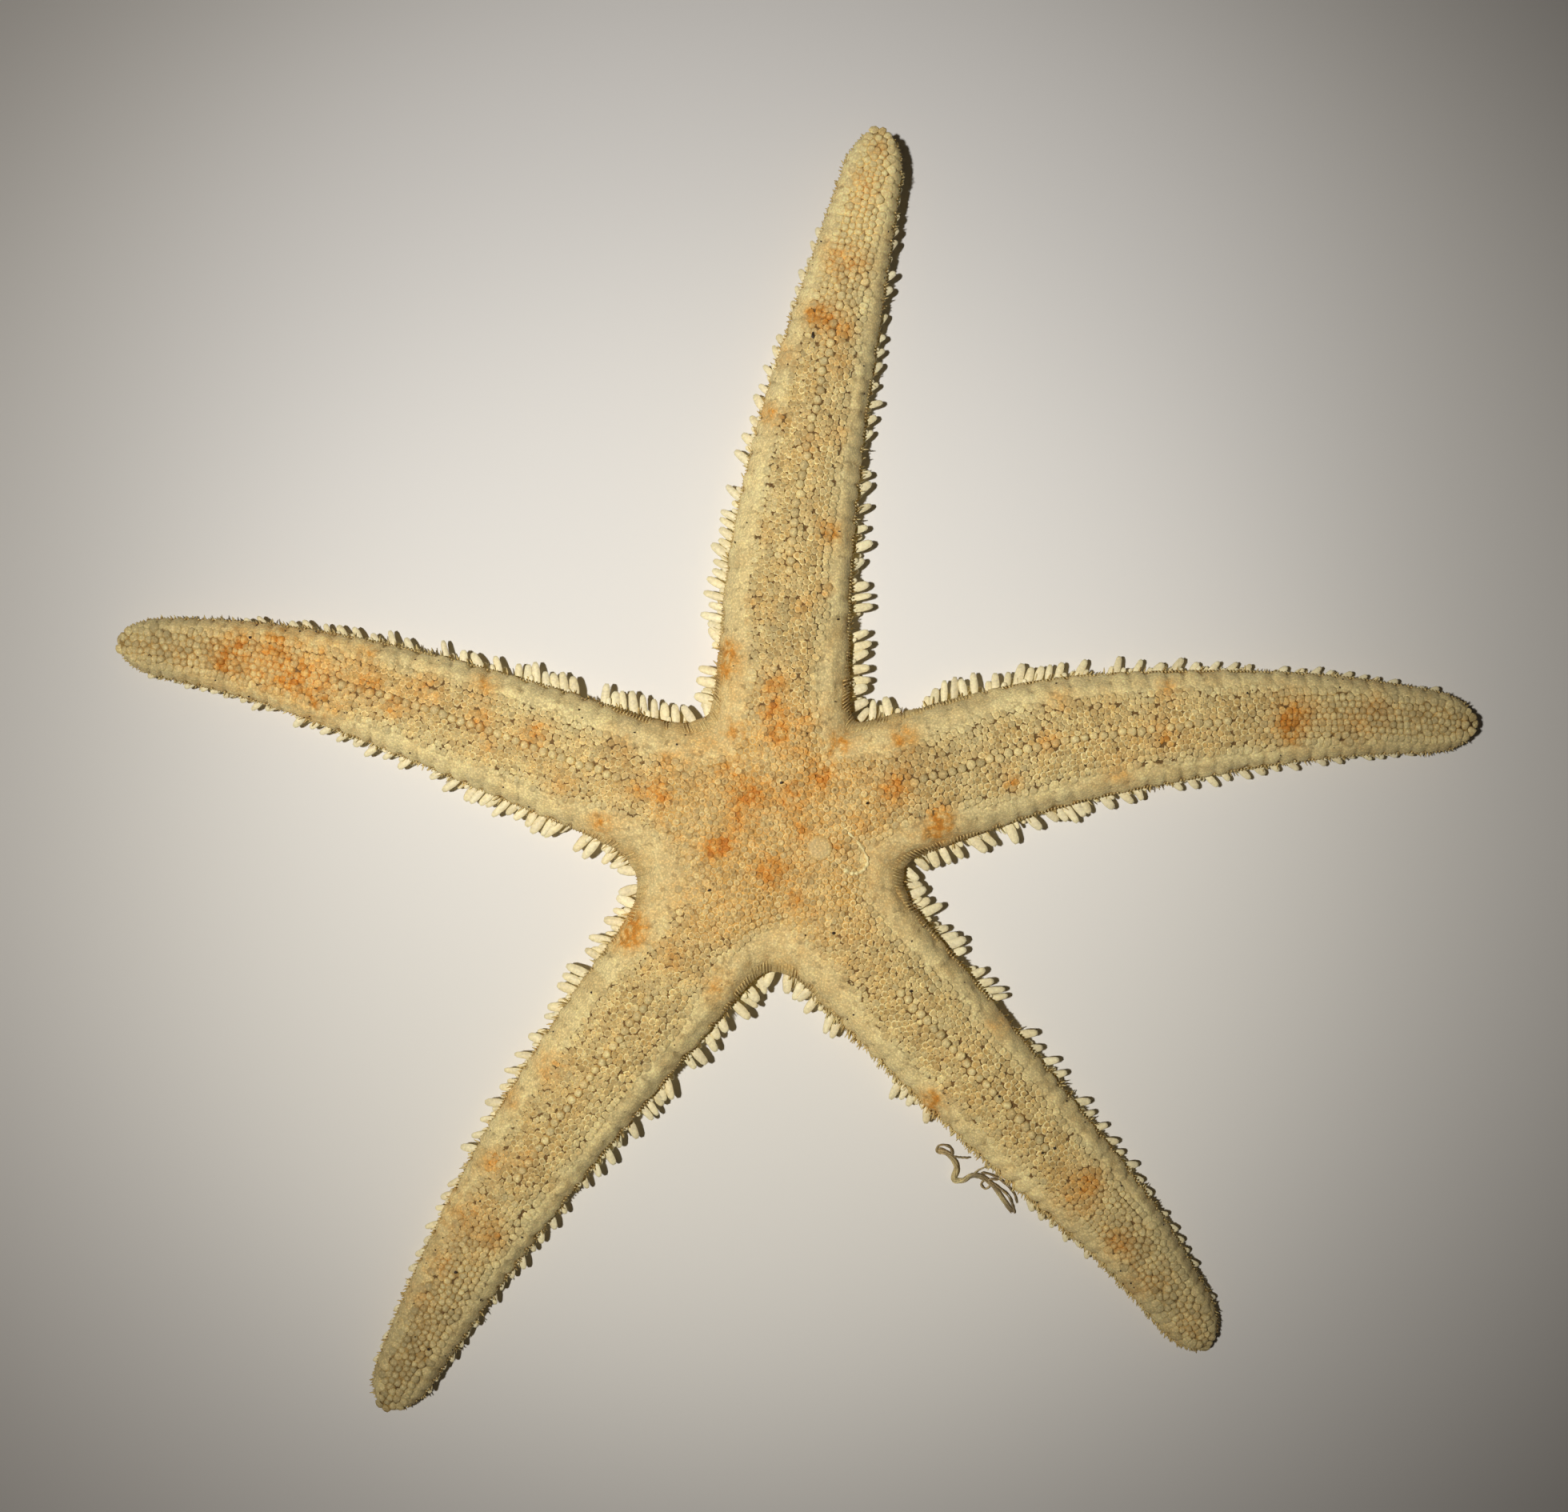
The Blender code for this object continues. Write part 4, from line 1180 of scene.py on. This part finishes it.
def blades(form, root, heading, wide, length, breadth, thickness, belly, droop):
    """Copies of a rod drawn into flat blunt spines, widest at the share called belly."""
    steps = form["step"].max()
    share = np.linspace(0, 1, steps + 1)
    line = rays(root, heading, length, steps + 1)
    line = line - UP * (droop[:, None] * length[:, None] * share ** 2)[..., None]
    swell = 0.7 + 0.3 * np.sin(np.clip(share / belly[:, None], 0, 1) * math.pi / 2)
    fall = 1 - 0.3 * np.clip((share - belly[:, None]) / (1 - belly[:, None]), 0, 1)
    blunt = np.sqrt(np.clip(1 - np.clip((share - 0.84) / 0.17, 0, 1) ** 2, 0.3, 1))
    form_breadth = swell * fall * blunt
    return sweep(
        form, line, wide[:, None], np.cross(wide, heading)[:, None],
        form_breadth * breadth[:, None] / 2, form_breadth * thickness[:, None] / 2, corner=0.5,
    )


class STARFISH_OT_edge_spines(bpy.types.Operator):
    """Builds the combs of flat edge spines, the main row and the shorter ones about it"""

    bl_idname = "starfish.edge_spines"
    bl_label = "Edge spines"

    def execute(self, context):
        settings = context.scene.starfish
        rng = np.random.default_rng(31)
        form = rod_form(8, 7)
        root, heading, wide, values = [], [], [], []
        for index, side, plate, turn, share, size, lift, breadth in self.rows(rng):
            point, along, _, off = stand(index, side, np.array([plate]), np.array([turn]))
            out = unit(off[0] * (1, 1, 0))
            ahead = unit(along[0] * (1, 1, 0))
            lean = math.radians(between(LEAN, share ** 2) + 9 * math.cos(1.7 * plate))
            lean += math.radians(rng.normal(0, 5))
            rising = UP * (lift + rng.normal(0, 0.05))
            way = unit(out * math.cos(lean) + ahead * math.sin(lean) + rising)
            across = unit(np.cross(UP, way))
            roll = rng.normal(0, 0.12)
            across = across * math.cos(roll) + np.cross(way, across) * math.sin(roll)
            root.append(point[0] - out * 0.15)
            heading.append(way)
            wide.append(across)
            long = between((settings.spine_length / MM, TIP_SPINE_LENGTH), share ** 0.7) * size
            broad = between(SPINE_BREADTH, share) * breadth * rng.uniform(0.8, 1.1)
            belly, droop = rng.uniform(0.35, 0.6), rng.uniform(0.0, 0.1)
            values.append((long, broad, between(SPINE_THICKNESS, share), belly, droop))
        values = np.array(values)
        copies = blades(form, np.array(root), np.array(heading), np.array(wide), *values.T)
        number = len(copies)
        along = form["step"] / form["step"].max()
        rim = 0.25 * rng.random(number)[:, None] + 0.1 * (1 - along)
        # Painted shade towards each spine's root, where it meets the wall.
        painted_shade = 0.1 * (1 - along) ** 2 + 0 * rim
        tone = np.broadcast_to(rng.uniform(0.35, 0.8, number)[:, None], rim.shape)
        grain = np.clip(np.stack([rim, painted_shade, tone], axis=-1), 0, 1)
        mark = patches(np.array(root), 0.2 * rng.random(number), 0.2 * rng.random(number) ** 2, 0.05)
        material = calcite("edge_spine_calcite", settings.spine, 0.5, 0.02, glow=0.15, beaded=0.15)
        mesh = joined_mesh("edge_spines", [(form["faces"], copies, grain, mark[:, None])])
        add_piece("edge_spines", mesh, material)
        return {"FINISHED"}

    @staticmethod
    def rows(rng):
        """Arm, side, plate, turn, share of the length, length, lift and breadth of each spine."""
        rows = []
        for index, side, plate, share in edge_spines():
            near = min(1, 0.78 + 0.04 * plate)
            long = near * (1 + 0.18 * math.sin(2.4 * plate + side))
            rows.append((index, side, plate - 0.5, MAIN_ROW, share, long, -0.04, 1.0))
            if plate < 10 and rng.random() < 0.8:
                long = near * rng.uniform(0.75, 1.05)
                rows.append((index, side, plate + 0.02, MAIN_ROW, share, long, -0.04, 0.9))
            for offset, turn, size in LOWER_ROWS:
                if rng.random() < 0.85:
                    long = size * rng.uniform(0.75, 1.15)
                    rows.append((index, side, plate - 0.5 + offset, turn, share, long, -0.1, 0.8))
            if rng.random() < 0.7:
                long = rng.uniform(0.25, 0.5)
                rows.append((index, side, plate - 0.15, 0.66, share, long, 0.1, 0.6))
        for index in range(len(ARMS)):
            for side, plate, size in NOTCH_SPINES:
                rows.append((index, side, plate, 0.70, 0.05, size, -0.03, 0.9))
                rows.append((index, side, plate + 0.35, 0.78, 0.05, 0.8 * size, -0.08, 0.7))
        return rows


class STARFISH_OT_combs(bpy.types.Operator):
    """Builds the fine ribs down the side wall and the thin spinelets about the edge spines"""

    bl_idname = "starfish.combs"
    bl_label = "Wall combs"

    def execute(self, context):
        settings = context.scene.starfish
        rng = np.random.default_rng(37)
        rib = rod_form(4, 4)
        needle = rod_form(4, 2)
        ribs, needles, rib_marks, needle_marks = [], [], [], []
        for index, arm in enumerate(ARMS):
            for side in (1, -1):
                plates = self.even_plates(index, side, settings.rib_pitch / MM)
                share = row_at(index, side, plates)[2]
                turns = np.linspace(wall_start(share), 0.61, 5, axis=1)
                grid, along, _, off = stand(index, side, plates[:, None] + 0 * turns, turns)
                grid = grid + off * 0.04
                ends = np.array([0.6, 1, 1, 1, 0.6])
                wide = 0.08 * ends + 0 * plates[:, None]
                tall = 0.12 * ends + 0 * plates[:, None]
                ribs.append(sweep(rib, grid, along, off, wide, tall))
                rib_marks.append(patches(grid[:, 2], 0, 0.4 + 0.3 * rng.random(len(plates)), 0.6))

                number = int(arm["length"] * 5)
                plate = rng.uniform(0.6, PLATES - 1.5, number)
                turn = rng.uniform(0.62, 0.98, number)
                if (arm["name"], side) == FRAYED:
                    plate = np.concatenate([plate, rng.uniform(2, PLATES - 1, 500)])
                    turn = np.concatenate([turn, rng.uniform(0.5, 0.7, 500)])
                    number = len(plate)
                point, along, _, off = stand(index, side, plate, turn)
                lean = rng.normal(0.6, 0.35, (number, 1))
                way = unit(off * (1, 1, 0.5) + along * lean + rng.normal(0, 0.2, (number, 3)))
                length = rng.uniform(0.35, 0.8, number) * between((1.1, 0.65), plate / PLATES)
                line = rays(point - off * 0.06, way, length, 3)
                across = unit(np.cross(way, UP))
                wide = np.array([0.075, 0.07, 0.03]) + 0 * length[:, None]
                over = np.cross(across, way)
                needles.append(
                    sweep(needle, line, across[:, None], over[:, None], wide, wide * 0.8)
                )
                needle_marks.append(patches(point, 0.2 * rng.random(number), 0.3 * rng.random(number), 0.3))
        ribs, needles = np.concatenate(ribs), np.concatenate(needles)
        rib_tone = rng.random((len(ribs), 1, 1)) * [0.4, 0, 1] + [0.2, 0.0, 0]
        needle_tone = rng.random((len(needles), 1, 1)) * [0.3, 0, 1] + [0.2, 0.05, 0]
        material = calcite("wall_comb_calcite", settings.crown, 0.75, 0.03)
        mesh = joined_mesh("wall_combs", [
            (rib["faces"], ribs, rib_tone, np.concatenate(rib_marks)[:, None]),
            (needle["faces"], needles, needle_tone, np.concatenate(needle_marks)[:, None]),
        ])
        add_piece("wall_combs", mesh, material)
        return {"FINISHED"}

    @staticmethod
    def even_plates(index, side, pitch):
        """Plate numbers at even distances along the wall."""
        plates = np.linspace(0.15, PLATES - 1.2, 2000)
        points = surface(index, side, plates, np.full(len(plates), 0.5))
        run = np.concatenate([[0], np.cumsum(np.linalg.norm(np.diff(points, axis=0), axis=1))])
        return np.interp(np.arange(0, run[-1], pitch), run, plates)


class STARFISH_OT_underside(bpy.types.Operator):
    """Builds the underside: flat scales, furrow spines, tube feet and the spines about the mouth"""

    bl_idname = "starfish.underside"
    bl_label = "Underside"

    def execute(self, context):
        settings = context.scene.starfish
        rng = np.random.default_rng(41)
        scale = rod_form(6, 2)
        spine = rod_form(6, 3)
        scales, furrow, feet = [], [], []
        for index in range(len(ARMS)):
            for side in (1, -1):
                plate = np.repeat(np.arange(0.25, PLATES - 1.5, 0.5), 5)
                plate = plate + rng.uniform(-0.12, 0.12, len(plate))
                turn = np.tile(np.linspace(1.0, 1.36, 5), len(plate) // 5)
                turn = turn + rng.uniform(-0.03, 0.03, len(plate))
                point, along, out, _ = stand(index, side, plate, turn)
                away = unit(out * (1, 1, 0) * -1)
                way = unit(away * 0.8 + along * 0.5 + rng.normal(0, 0.12, point.shape) * (1, 1, 0))
                length = between((0.95, 0.5), plate / PLATES) * rng.uniform(0.8, 1.1, len(plate))
                line = rays(point, way, length, 3) - UP * 0.1
                wide = length[:, None] * [0.22, 0.3, 0.12]
                thick = np.full(wide.shape, 0.085)
                scales.append(self.bars(scale, line, np.cross(way, UP), wide, thick))

                plate = np.arange(0.3, PLATES - 2.0, 0.36)
                point, along, out, _ = stand(index, side, plate, np.full(len(plate), FURROW_EDGE))
                inward = unit(out * (1, 1, 0))
                way = unit(inward * 0.9 + along * rng.normal(0.2, 0.15, (len(plate), 1)))
                length = between((1.35, 0.5), plate / PLATES) * rng.uniform(0.8, 1.1, len(plate))
                line = rays(point, way, length, 4)
                line[..., 2] -= 0.03 * np.sin(np.linspace(0, 1, 4) * math.pi) + 0.1
                wide = length[:, None] * [0.09, 0.11, 0.1, 0.05]
                furrow.append(self.bars(spine, line, np.cross(way, UP), wide, wide * 0.7))

                plate = np.arange(0.8, PLATES - 2.5, 0.5)
                point, along, _, _ = stand(index, side, plate, np.full(len(plate), FEET_AT))
                down = unit(-UP + along * rng.normal(0, 0.25, (len(plate), 1)))
                length = np.maximum(point[:, 2] - 0.25, 0.2) * rng.uniform(0.6, 0.9, len(plate))
                line = rays(point, down, length, 4)
                wide = between((0.42, 0.15), plate / PLATES)[:, None] * [1, 0.85, 0.6, 0.15]
                feet.append(self.bars(spine, line, along, wide, wide))
        jaws, mouth_spines = self.mouth(scale, spine, rng)
        scales.append(jaws)
        furrow.append(mouth_spines)
        scales, furrow, feet = (np.concatenate(part) for part in (scales, furrow, feet))
        groups = []
        for form, copies, cream, olive in ((scale, scales, 0.3, 0.1), (spine, furrow, 0.35, 0)):
            tone = rng.random((len(copies), 1, 1)) * [0.3, 0, 1] + [0.25, 0.05, 0]
            mark = patches(copies.mean(axis=1), cream, olive, 0.1)
            groups.append((form["faces"], copies, tone, mark[:, None]))
        material = calcite("underside_calcite", settings.spine, 0.7, 0.03)
        mesh = joined_mesh("underside_spines", groups)
        add_piece("underside_spines", mesh, material)
        flesh = calcite("dried_tube_foot_skin", settings.foot, 0.45, 0.02, glow=0.1)
        tones = rng.random((len(feet), 1, 1)) * [0, 0, 1]
        none = np.zeros((len(feet), 1, 3))
        mesh = joined_mesh("tube_feet", [(spine["faces"], feet, tones, none)])
        add_piece("tube_feet", mesh, flesh)
        return {"FINISHED"}

    def mouth(self, scale, spine, rng):
        """The five pairs of jaw plates that point at the mouth, and the spines along them."""
        jaws, spines, jaw_across, spine_across = [], [], [], []
        for index in range(len(ARMS)):
            outward = unit(notch_point(index))
            side = np.array([-outward[1], outward[0]])
            for twin in (-1, 1):
                reach = np.linspace(5.2, 1.4, 3)[:, None]
                apart = np.array([0.62, 0.42, 0.2])[:, None] * twin
                line = np.column_stack([outward * reach + side * apart, [0.3, 0.42, 0.4]])
                jaws.append(line)
                jaw_across.append(side)
                for share in np.linspace(0, 1, 8):
                    root = line[0] + (line[2] - line[0]) * share
                    way = side * twin * between((0.9, 0.25), share) - outward * between((0.5, 1), share)
                    way = unit(np.array([*way, -0.06]) + rng.normal(0, 0.08, 3))
                    length = between((0.9, 1.25), share) * rng.uniform(0.85, 1.1)
                    spines.append(root + np.linspace(0, length, 4)[:, None] * way - UP * 0.05)
                    spine_across.append([-way[1], way[0]])
        jaws, spines = np.array(jaws), np.array(spines)
        wide = np.array([0.5, 0.45, 0.28]) + 0 * jaws[..., 0]
        thick = np.array([0.24, 0.3, 0.24]) + 0 * jaws[..., 0]
        flat = np.pad(np.array(jaw_across), ((0, 0), (0, 1)))
        slim = np.array([0.12, 0.13, 0.11, 0.05]) + 0 * spines[..., 0]
        level = np.pad(np.array(spine_across), ((0, 0), (0, 1)))
        return (
            self.bars(scale, jaws, flat, wide, thick),
            self.bars(spine, spines, level, slim, slim * 0.8),
        )

    @staticmethod
    def bars(form, line, across, wide, thick):
        """Rods whose flat side faces the table."""
        return sweep(form, line, unit(across)[:, None], UP, wide, thick)


def smooth_line(points, steps):
    """A smooth line through points in mm, and the shares of the way along it."""
    points = np.array(points)
    share = np.linspace(0, 1, steps)
    return np.stack([through(points[:, axis], share) for axis in range(3)], axis=-1), share


def under_camera(tree, x, y):
    """The point of the back that the camera sees at a place of the table, or None."""
    camera = np.array(CAMERA_PLACE[:2]) - DISC_CENTRE
    for height in (6.7, 5.5, 4.5, 3.5, 2.5):
        plan = camera + (np.array((x, y)) - camera) * (1 - height / CAMERA_PLACE[2])
        hit = drop(tree, *plan)
        if hit is not None:
            return hit[0]
    return None


class STARFISH_OT_sieve_plate(bpy.types.Operator):
    """Builds the sieve plate, a low button with fine grooves, and the pale thread beside it"""

    bl_idname = "starfish.sieve_plate"
    bl_label = "Sieve plate"

    def execute(self, context):
        settings = context.scene.starfish
        profile = [(share * SIEVE_RADIUS, height) for share, height in SIEVE_PROFILE]
        points, faces = spun_form(profile, 48)
        angle = np.arctan2(points[:, 1], points[:, 0])
        away = np.hypot(points[:, 0], points[:, 1]) / SIEVE_RADIUS
        groove = 0.5 + 0.5 * np.cos(angle * 24 + 1.5 * np.sin(5 * angle))
        points[:, 2] -= 0.03 * groove * ramp(away, 0.15, 0.4) * (away < 0.99)
        points += (*SIEVE_PLACE, HEIGHT[0] - 0.09)
        grain = np.stack([0.25 + 0 * away, 0 * away, 0.45 + 0 * away], -1)
        patch = patches(points)
        patch[:, 0] = 0.1 + 0.25 * ramp(away, 0.7, 1)
        material = calcite("sieve_plate_calcite", settings.crown, 0.6, 0.02)
        form = rod_form(6, 70)
        tree = grain_field(0.45)[0]
        line, share = smooth_line([under_camera(tree, x, y) for x, y in THREAD_LINE], 71)
        line[:, 2] += 0.02 + 0.03 * np.sin(share * 40)
        across = unit(np.cross(np.gradient(line, axis=0), UP))
        lump = np.abs(np.sin(share * 33 + 2 * np.sin(share * 9)))
        thick = 0.05 + (0.08 + 0.14 * share) * lump
        thread = sweep(form, line[None], across[None], UP, thick[None], 0.8 * thick[None])
        mesh = joined_mesh("sieve_plate", [
            (faces, points[None], grain[None], patch[None]),
            (form["faces"], thread, np.array([[[1.0, 0, 0.85]]]), np.array([[[0.05, 0, 0.15]]])),
        ])
        add_piece("sieve_plate", mesh, material)
        return {"FINISHED"}


class STARFISH_OT_grit(bpy.types.Operator):
    """Builds the dark grains caught on the back and the sand between the spines"""

    bl_idname = "starfish.grit"
    bl_label = "Grit"

    def execute(self, context):
        rng = np.random.default_rng(53)
        bm = bmesh.new()
        bmesh.ops.create_icosphere(bm, subdivisions=1, radius=1)
        form, faces = form_of(bm)
        tree = grain_field(0.45)[0]
        places, sizes = [], []
        for x, y in SPECKS:
            place = under_camera(tree, x, y)
            if place is not None:
                places.append(place + UP * 0.2)
                sizes.append((0.17, 0.13, 0.1))
        sizes[0] = (0.17, 0.36, 0.12)
        for _ in range(160):
            index = rng.integers(len(ARMS))
            side = rng.choice((-1, 1))
            plate, turn = rng.uniform(1, 30), rng.uniform(0.05, 0.66)
            point, _, _, off = stand(index, side, np.array([plate]), np.array([turn]))
            places.append(point[0] + off[0] * 0.06)
            sizes.append(rng.uniform(0.05, 0.11, 3))
        places, sizes = np.array(places), np.array(sizes)
        rough = form * (1 + 0.15 * rng.standard_normal((len(places), len(form), 1)))
        copies = places[:, None] + rough * sizes[:, None]
        material, tree = new_material("basalt_grain")
        place = add(tree, "TexCoord").outputs["Object"]
        cell = add(tree, "TexNoise", {"Vector": place, "Scale": 1 / (0.4 * MM)})
        tint = add(
            tree, "Mix",
            {0: cell, 6: (*hex_colour("17120C"), 1), 7: (*hex_colour("4A3722"), 1)},
            data_type="RGBA",
        )
        shader = add(tree, "BsdfPrincipled", {"Base Color": tint, "Roughness": 0.6})
        add(tree, "OutputMaterial", {"Surface": shader})
        none = np.zeros((len(copies), 1, 3))
        mesh = joined_mesh("grit", [(faces, copies, none, none)])
        mesh.polygons.foreach_set("use_smooth", [False] * len(mesh.polygons))
        add_piece("grit", mesh, material)
        return {"FINISHED"}


class STARFISH_OT_fibres(bpy.types.Operator):
    """Builds the twist of dried fibre caught by the lower right arm"""

    bl_idname = "starfish.fibres"
    bl_label = "Caught fibre"

    def execute(self, context):
        settings = context.scene.starfish
        rng = np.random.default_rng(59)
        form = rod_form(6, 60)
        copies = []
        for strand in range(5):
            centre, across, over, share = self.way(FIBRE_LINE)
            phase = strand * math.tau / 5 + share * 16
            away = 0.12 + 0.05 * np.sin(share * 19 + strand)
            path = centre + across * (np.cos(phase) * away)[:, None]
            path = path + over * (np.sin(phase) * away)[:, None]
            path[:, 2] = np.maximum(path[:, 2], 0.15)
            thick = np.where(share < 0.62, 0.12, 0.08) * (1 + 0.2 * np.sin(share * 40 + strand))
            copies.append(self.strand(form, path, across, over, thick))
        for thickness, points in FIBRE_STRANDS:
            centre, across, over, share = self.way(points)
            thick = thickness * (1 + 0.2 * np.sin(share * 30))
            copies.append(self.strand(form, centre, across, over, thick))
        copies = np.concatenate(copies)
        tones = rng.random((len(copies), 1, 1)) * [0, 0, 1]
        none = np.zeros((len(copies), 1, 3))
        material = calcite("dried_weed_fibre", settings.fibre, 0.85, 0.04)
        mesh = joined_mesh("caught_fibre", [(form["faces"], copies, tones, none)])
        piece = add_piece("caught_fibre", mesh, material)
        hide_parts("fibre_strand")
        return {"FINISHED"}

    @staticmethod
    def way(points):
        """A smooth line through points, with the directions across and over it and its shares."""
        centre, share = smooth_line(points, 61)
        along = unit(np.gradient(centre, axis=0))
        across = unit(np.cross(along, UP))
        return centre, across, np.cross(across, along), share

    @staticmethod
    def strand(form, path, across, over, thick):
        """One strand along a line, drawn thin at both ends."""
        ends = np.minimum(np.arange(61), np.arange(61)[::-1]) / 2
        thick = (thick * np.clip(ends + 0.3, 0, 1))[None]
        return sweep(form, path[None], across[None], over[None], thick, thick)


# Key light: where it stands and what it is aimed at in mm, its lamp's radius, and its cones, which
# share one place: radius of the pool of light in mm, share of the brightness and colour.
KEY_AIM = (-6.0, 6.0)
KEY_AWAY = 500.0
KEY_ELEVATION = 74.0
KEY_SIDE = 182.0
KEY_RADIUS = 12.0
KEY_CONES = (
    ((-6, 6), 100, 0.343, "FFFFFE"), ((-18, 6), 150, 0.351, "FFF9F5"),
    ((-6, -6), 65, 0.276, "FFFBF0"), ((-6, 30), 65, 0.175, "ECEFFF"),
)
KEY_POWER = 8.4
FILL = 0.014


class STARFISH_OT_stage(bpy.types.Operator):
    """Builds the paper floor, the key light from the left, the faint fill and the camera"""

    bl_idname = "starfish.stage"
    bl_label = "Stage"

    def execute(self, context):
        scene = context.scene
        bm = bmesh.new()
        bmesh.ops.create_grid(bm, x_segments=1, y_segments=1, size=600 * MM)
        mesh = bpy.data.meshes.new("floor")
        bm.to_mesh(mesh)
        bm.free()
        floor = bpy.data.objects.new("floor", mesh)
        scene.collection.objects.link(floor)
        floor.location.z = -0.02 * MM
        material, tree = new_material("matt_paper")
        place = add(tree, "TexCoord").outputs["Object"]
        pulp = add(tree, "TexNoise", {"Vector": place, "Scale": 1 / (1.2 * MM), "Detail": 5})
        normal = add(tree, "Bump", {"Height": pulp, "Strength": 0.15, "Distance": 0.05 * MM})
        shader = add(
            tree, "BsdfPrincipled",
            {"Base Color": (*scene.starfish.paper, 1), "Roughness": 0.9, "Normal": normal,
             "Specular IOR Level": 0.2},
        )
        add(tree, "OutputMaterial", {"Surface": shader})
        mesh.materials.append(material)

        elevation, side = math.radians(KEY_ELEVATION), math.radians(KEY_SIDE)
        toward = Vector((
            math.cos(elevation) * math.cos(side), math.cos(elevation) * math.sin(side),
            math.sin(elevation),
        ))
        stand_point = Vector((*KEY_AIM, 0)) + toward * KEY_AWAY
        for number, (aim, radius, part, colour) in enumerate(KEY_CONES):
            lamp = bpy.data.lights.new("key_%d" % number, "SPOT")
            lamp.energy = KEY_POWER * part
            lamp.color = hex_colour(colour)
            lamp.shadow_soft_size = KEY_RADIUS * MM
            lamp.spot_size = 2 * math.atan(radius / KEY_AWAY)
            lamp.spot_blend = 1.0
            key = bpy.data.objects.new(lamp.name, lamp)
            key.location = stand_point * MM
            key.rotation_euler = (stand_point - Vector((*aim, 0))).to_track_quat("Z", "Y").to_euler()
            scene.collection.objects.link(key)

        world = bpy.data.worlds.new("dim_room")
        world.use_nodes = True
        world.node_tree.nodes["Background"].inputs[0].default_value = (1.0, 0.93, 0.85, 1)
        world.node_tree.nodes["Background"].inputs[1].default_value = FILL
        scene.world = world

        lens = bpy.data.cameras.new("camera")
        lens.sensor_width = SENSOR_BREADTH
        lens.lens = CAMERA_PLACE[2] * SENSOR_BREADTH / SEEN_BREADTH
        lens.clip_start = 0.005
        camera = bpy.data.objects.new("camera", lens)
        camera.location = Vector(CAMERA_PLACE) * MM
        scene.collection.objects.link(camera)
        scene.camera = camera
        scene.view_settings.view_transform = "Standard"
        return {"FINISHED"}


PIECES = (
    STARFISH_OT_stage,
    STARFISH_OT_skin,
    STARFISH_OT_crowns,
    STARFISH_OT_edge_spines,
    STARFISH_OT_combs,
    STARFISH_OT_underside,
    STARFISH_OT_sieve_plate,
    STARFISH_OT_grit,
    STARFISH_OT_fibres,
)


class STARFISH_PT_panel(bpy.types.Panel):
    """Sizes, colours and pieces of the dried starfish"""

    bl_idname = "STARFISH_PT_panel"
    bl_label = "Dried starfish"
    bl_space_type = "VIEW_3D"
    bl_region_type = "UI"
    bl_category = "Starfish"

    def draw(self, context):
        for key in StarfishSettings.__annotations__:
            self.layout.prop(context.scene.starfish, key)
        for piece in PIECES:
            self.layout.operator(piece.bl_idname)


CLASSES = (StarfishSettings, *PIECES, STARFISH_PT_panel)


def register():
    for item in CLASSES:
        bpy.utils.register_class(item)
    bpy.types.Scene.starfish = bpy.props.PointerProperty(type=StarfishSettings)


def unregister():
    del bpy.types.Scene.starfish
    for item in reversed(CLASSES):
        bpy.utils.unregister_class(item)


def main():
    register()
    for piece in PIECES:
        group, name = piece.bl_idname.split(".")
        getattr(getattr(bpy.ops, group), name)()


if __name__ == "__main__":
    main()
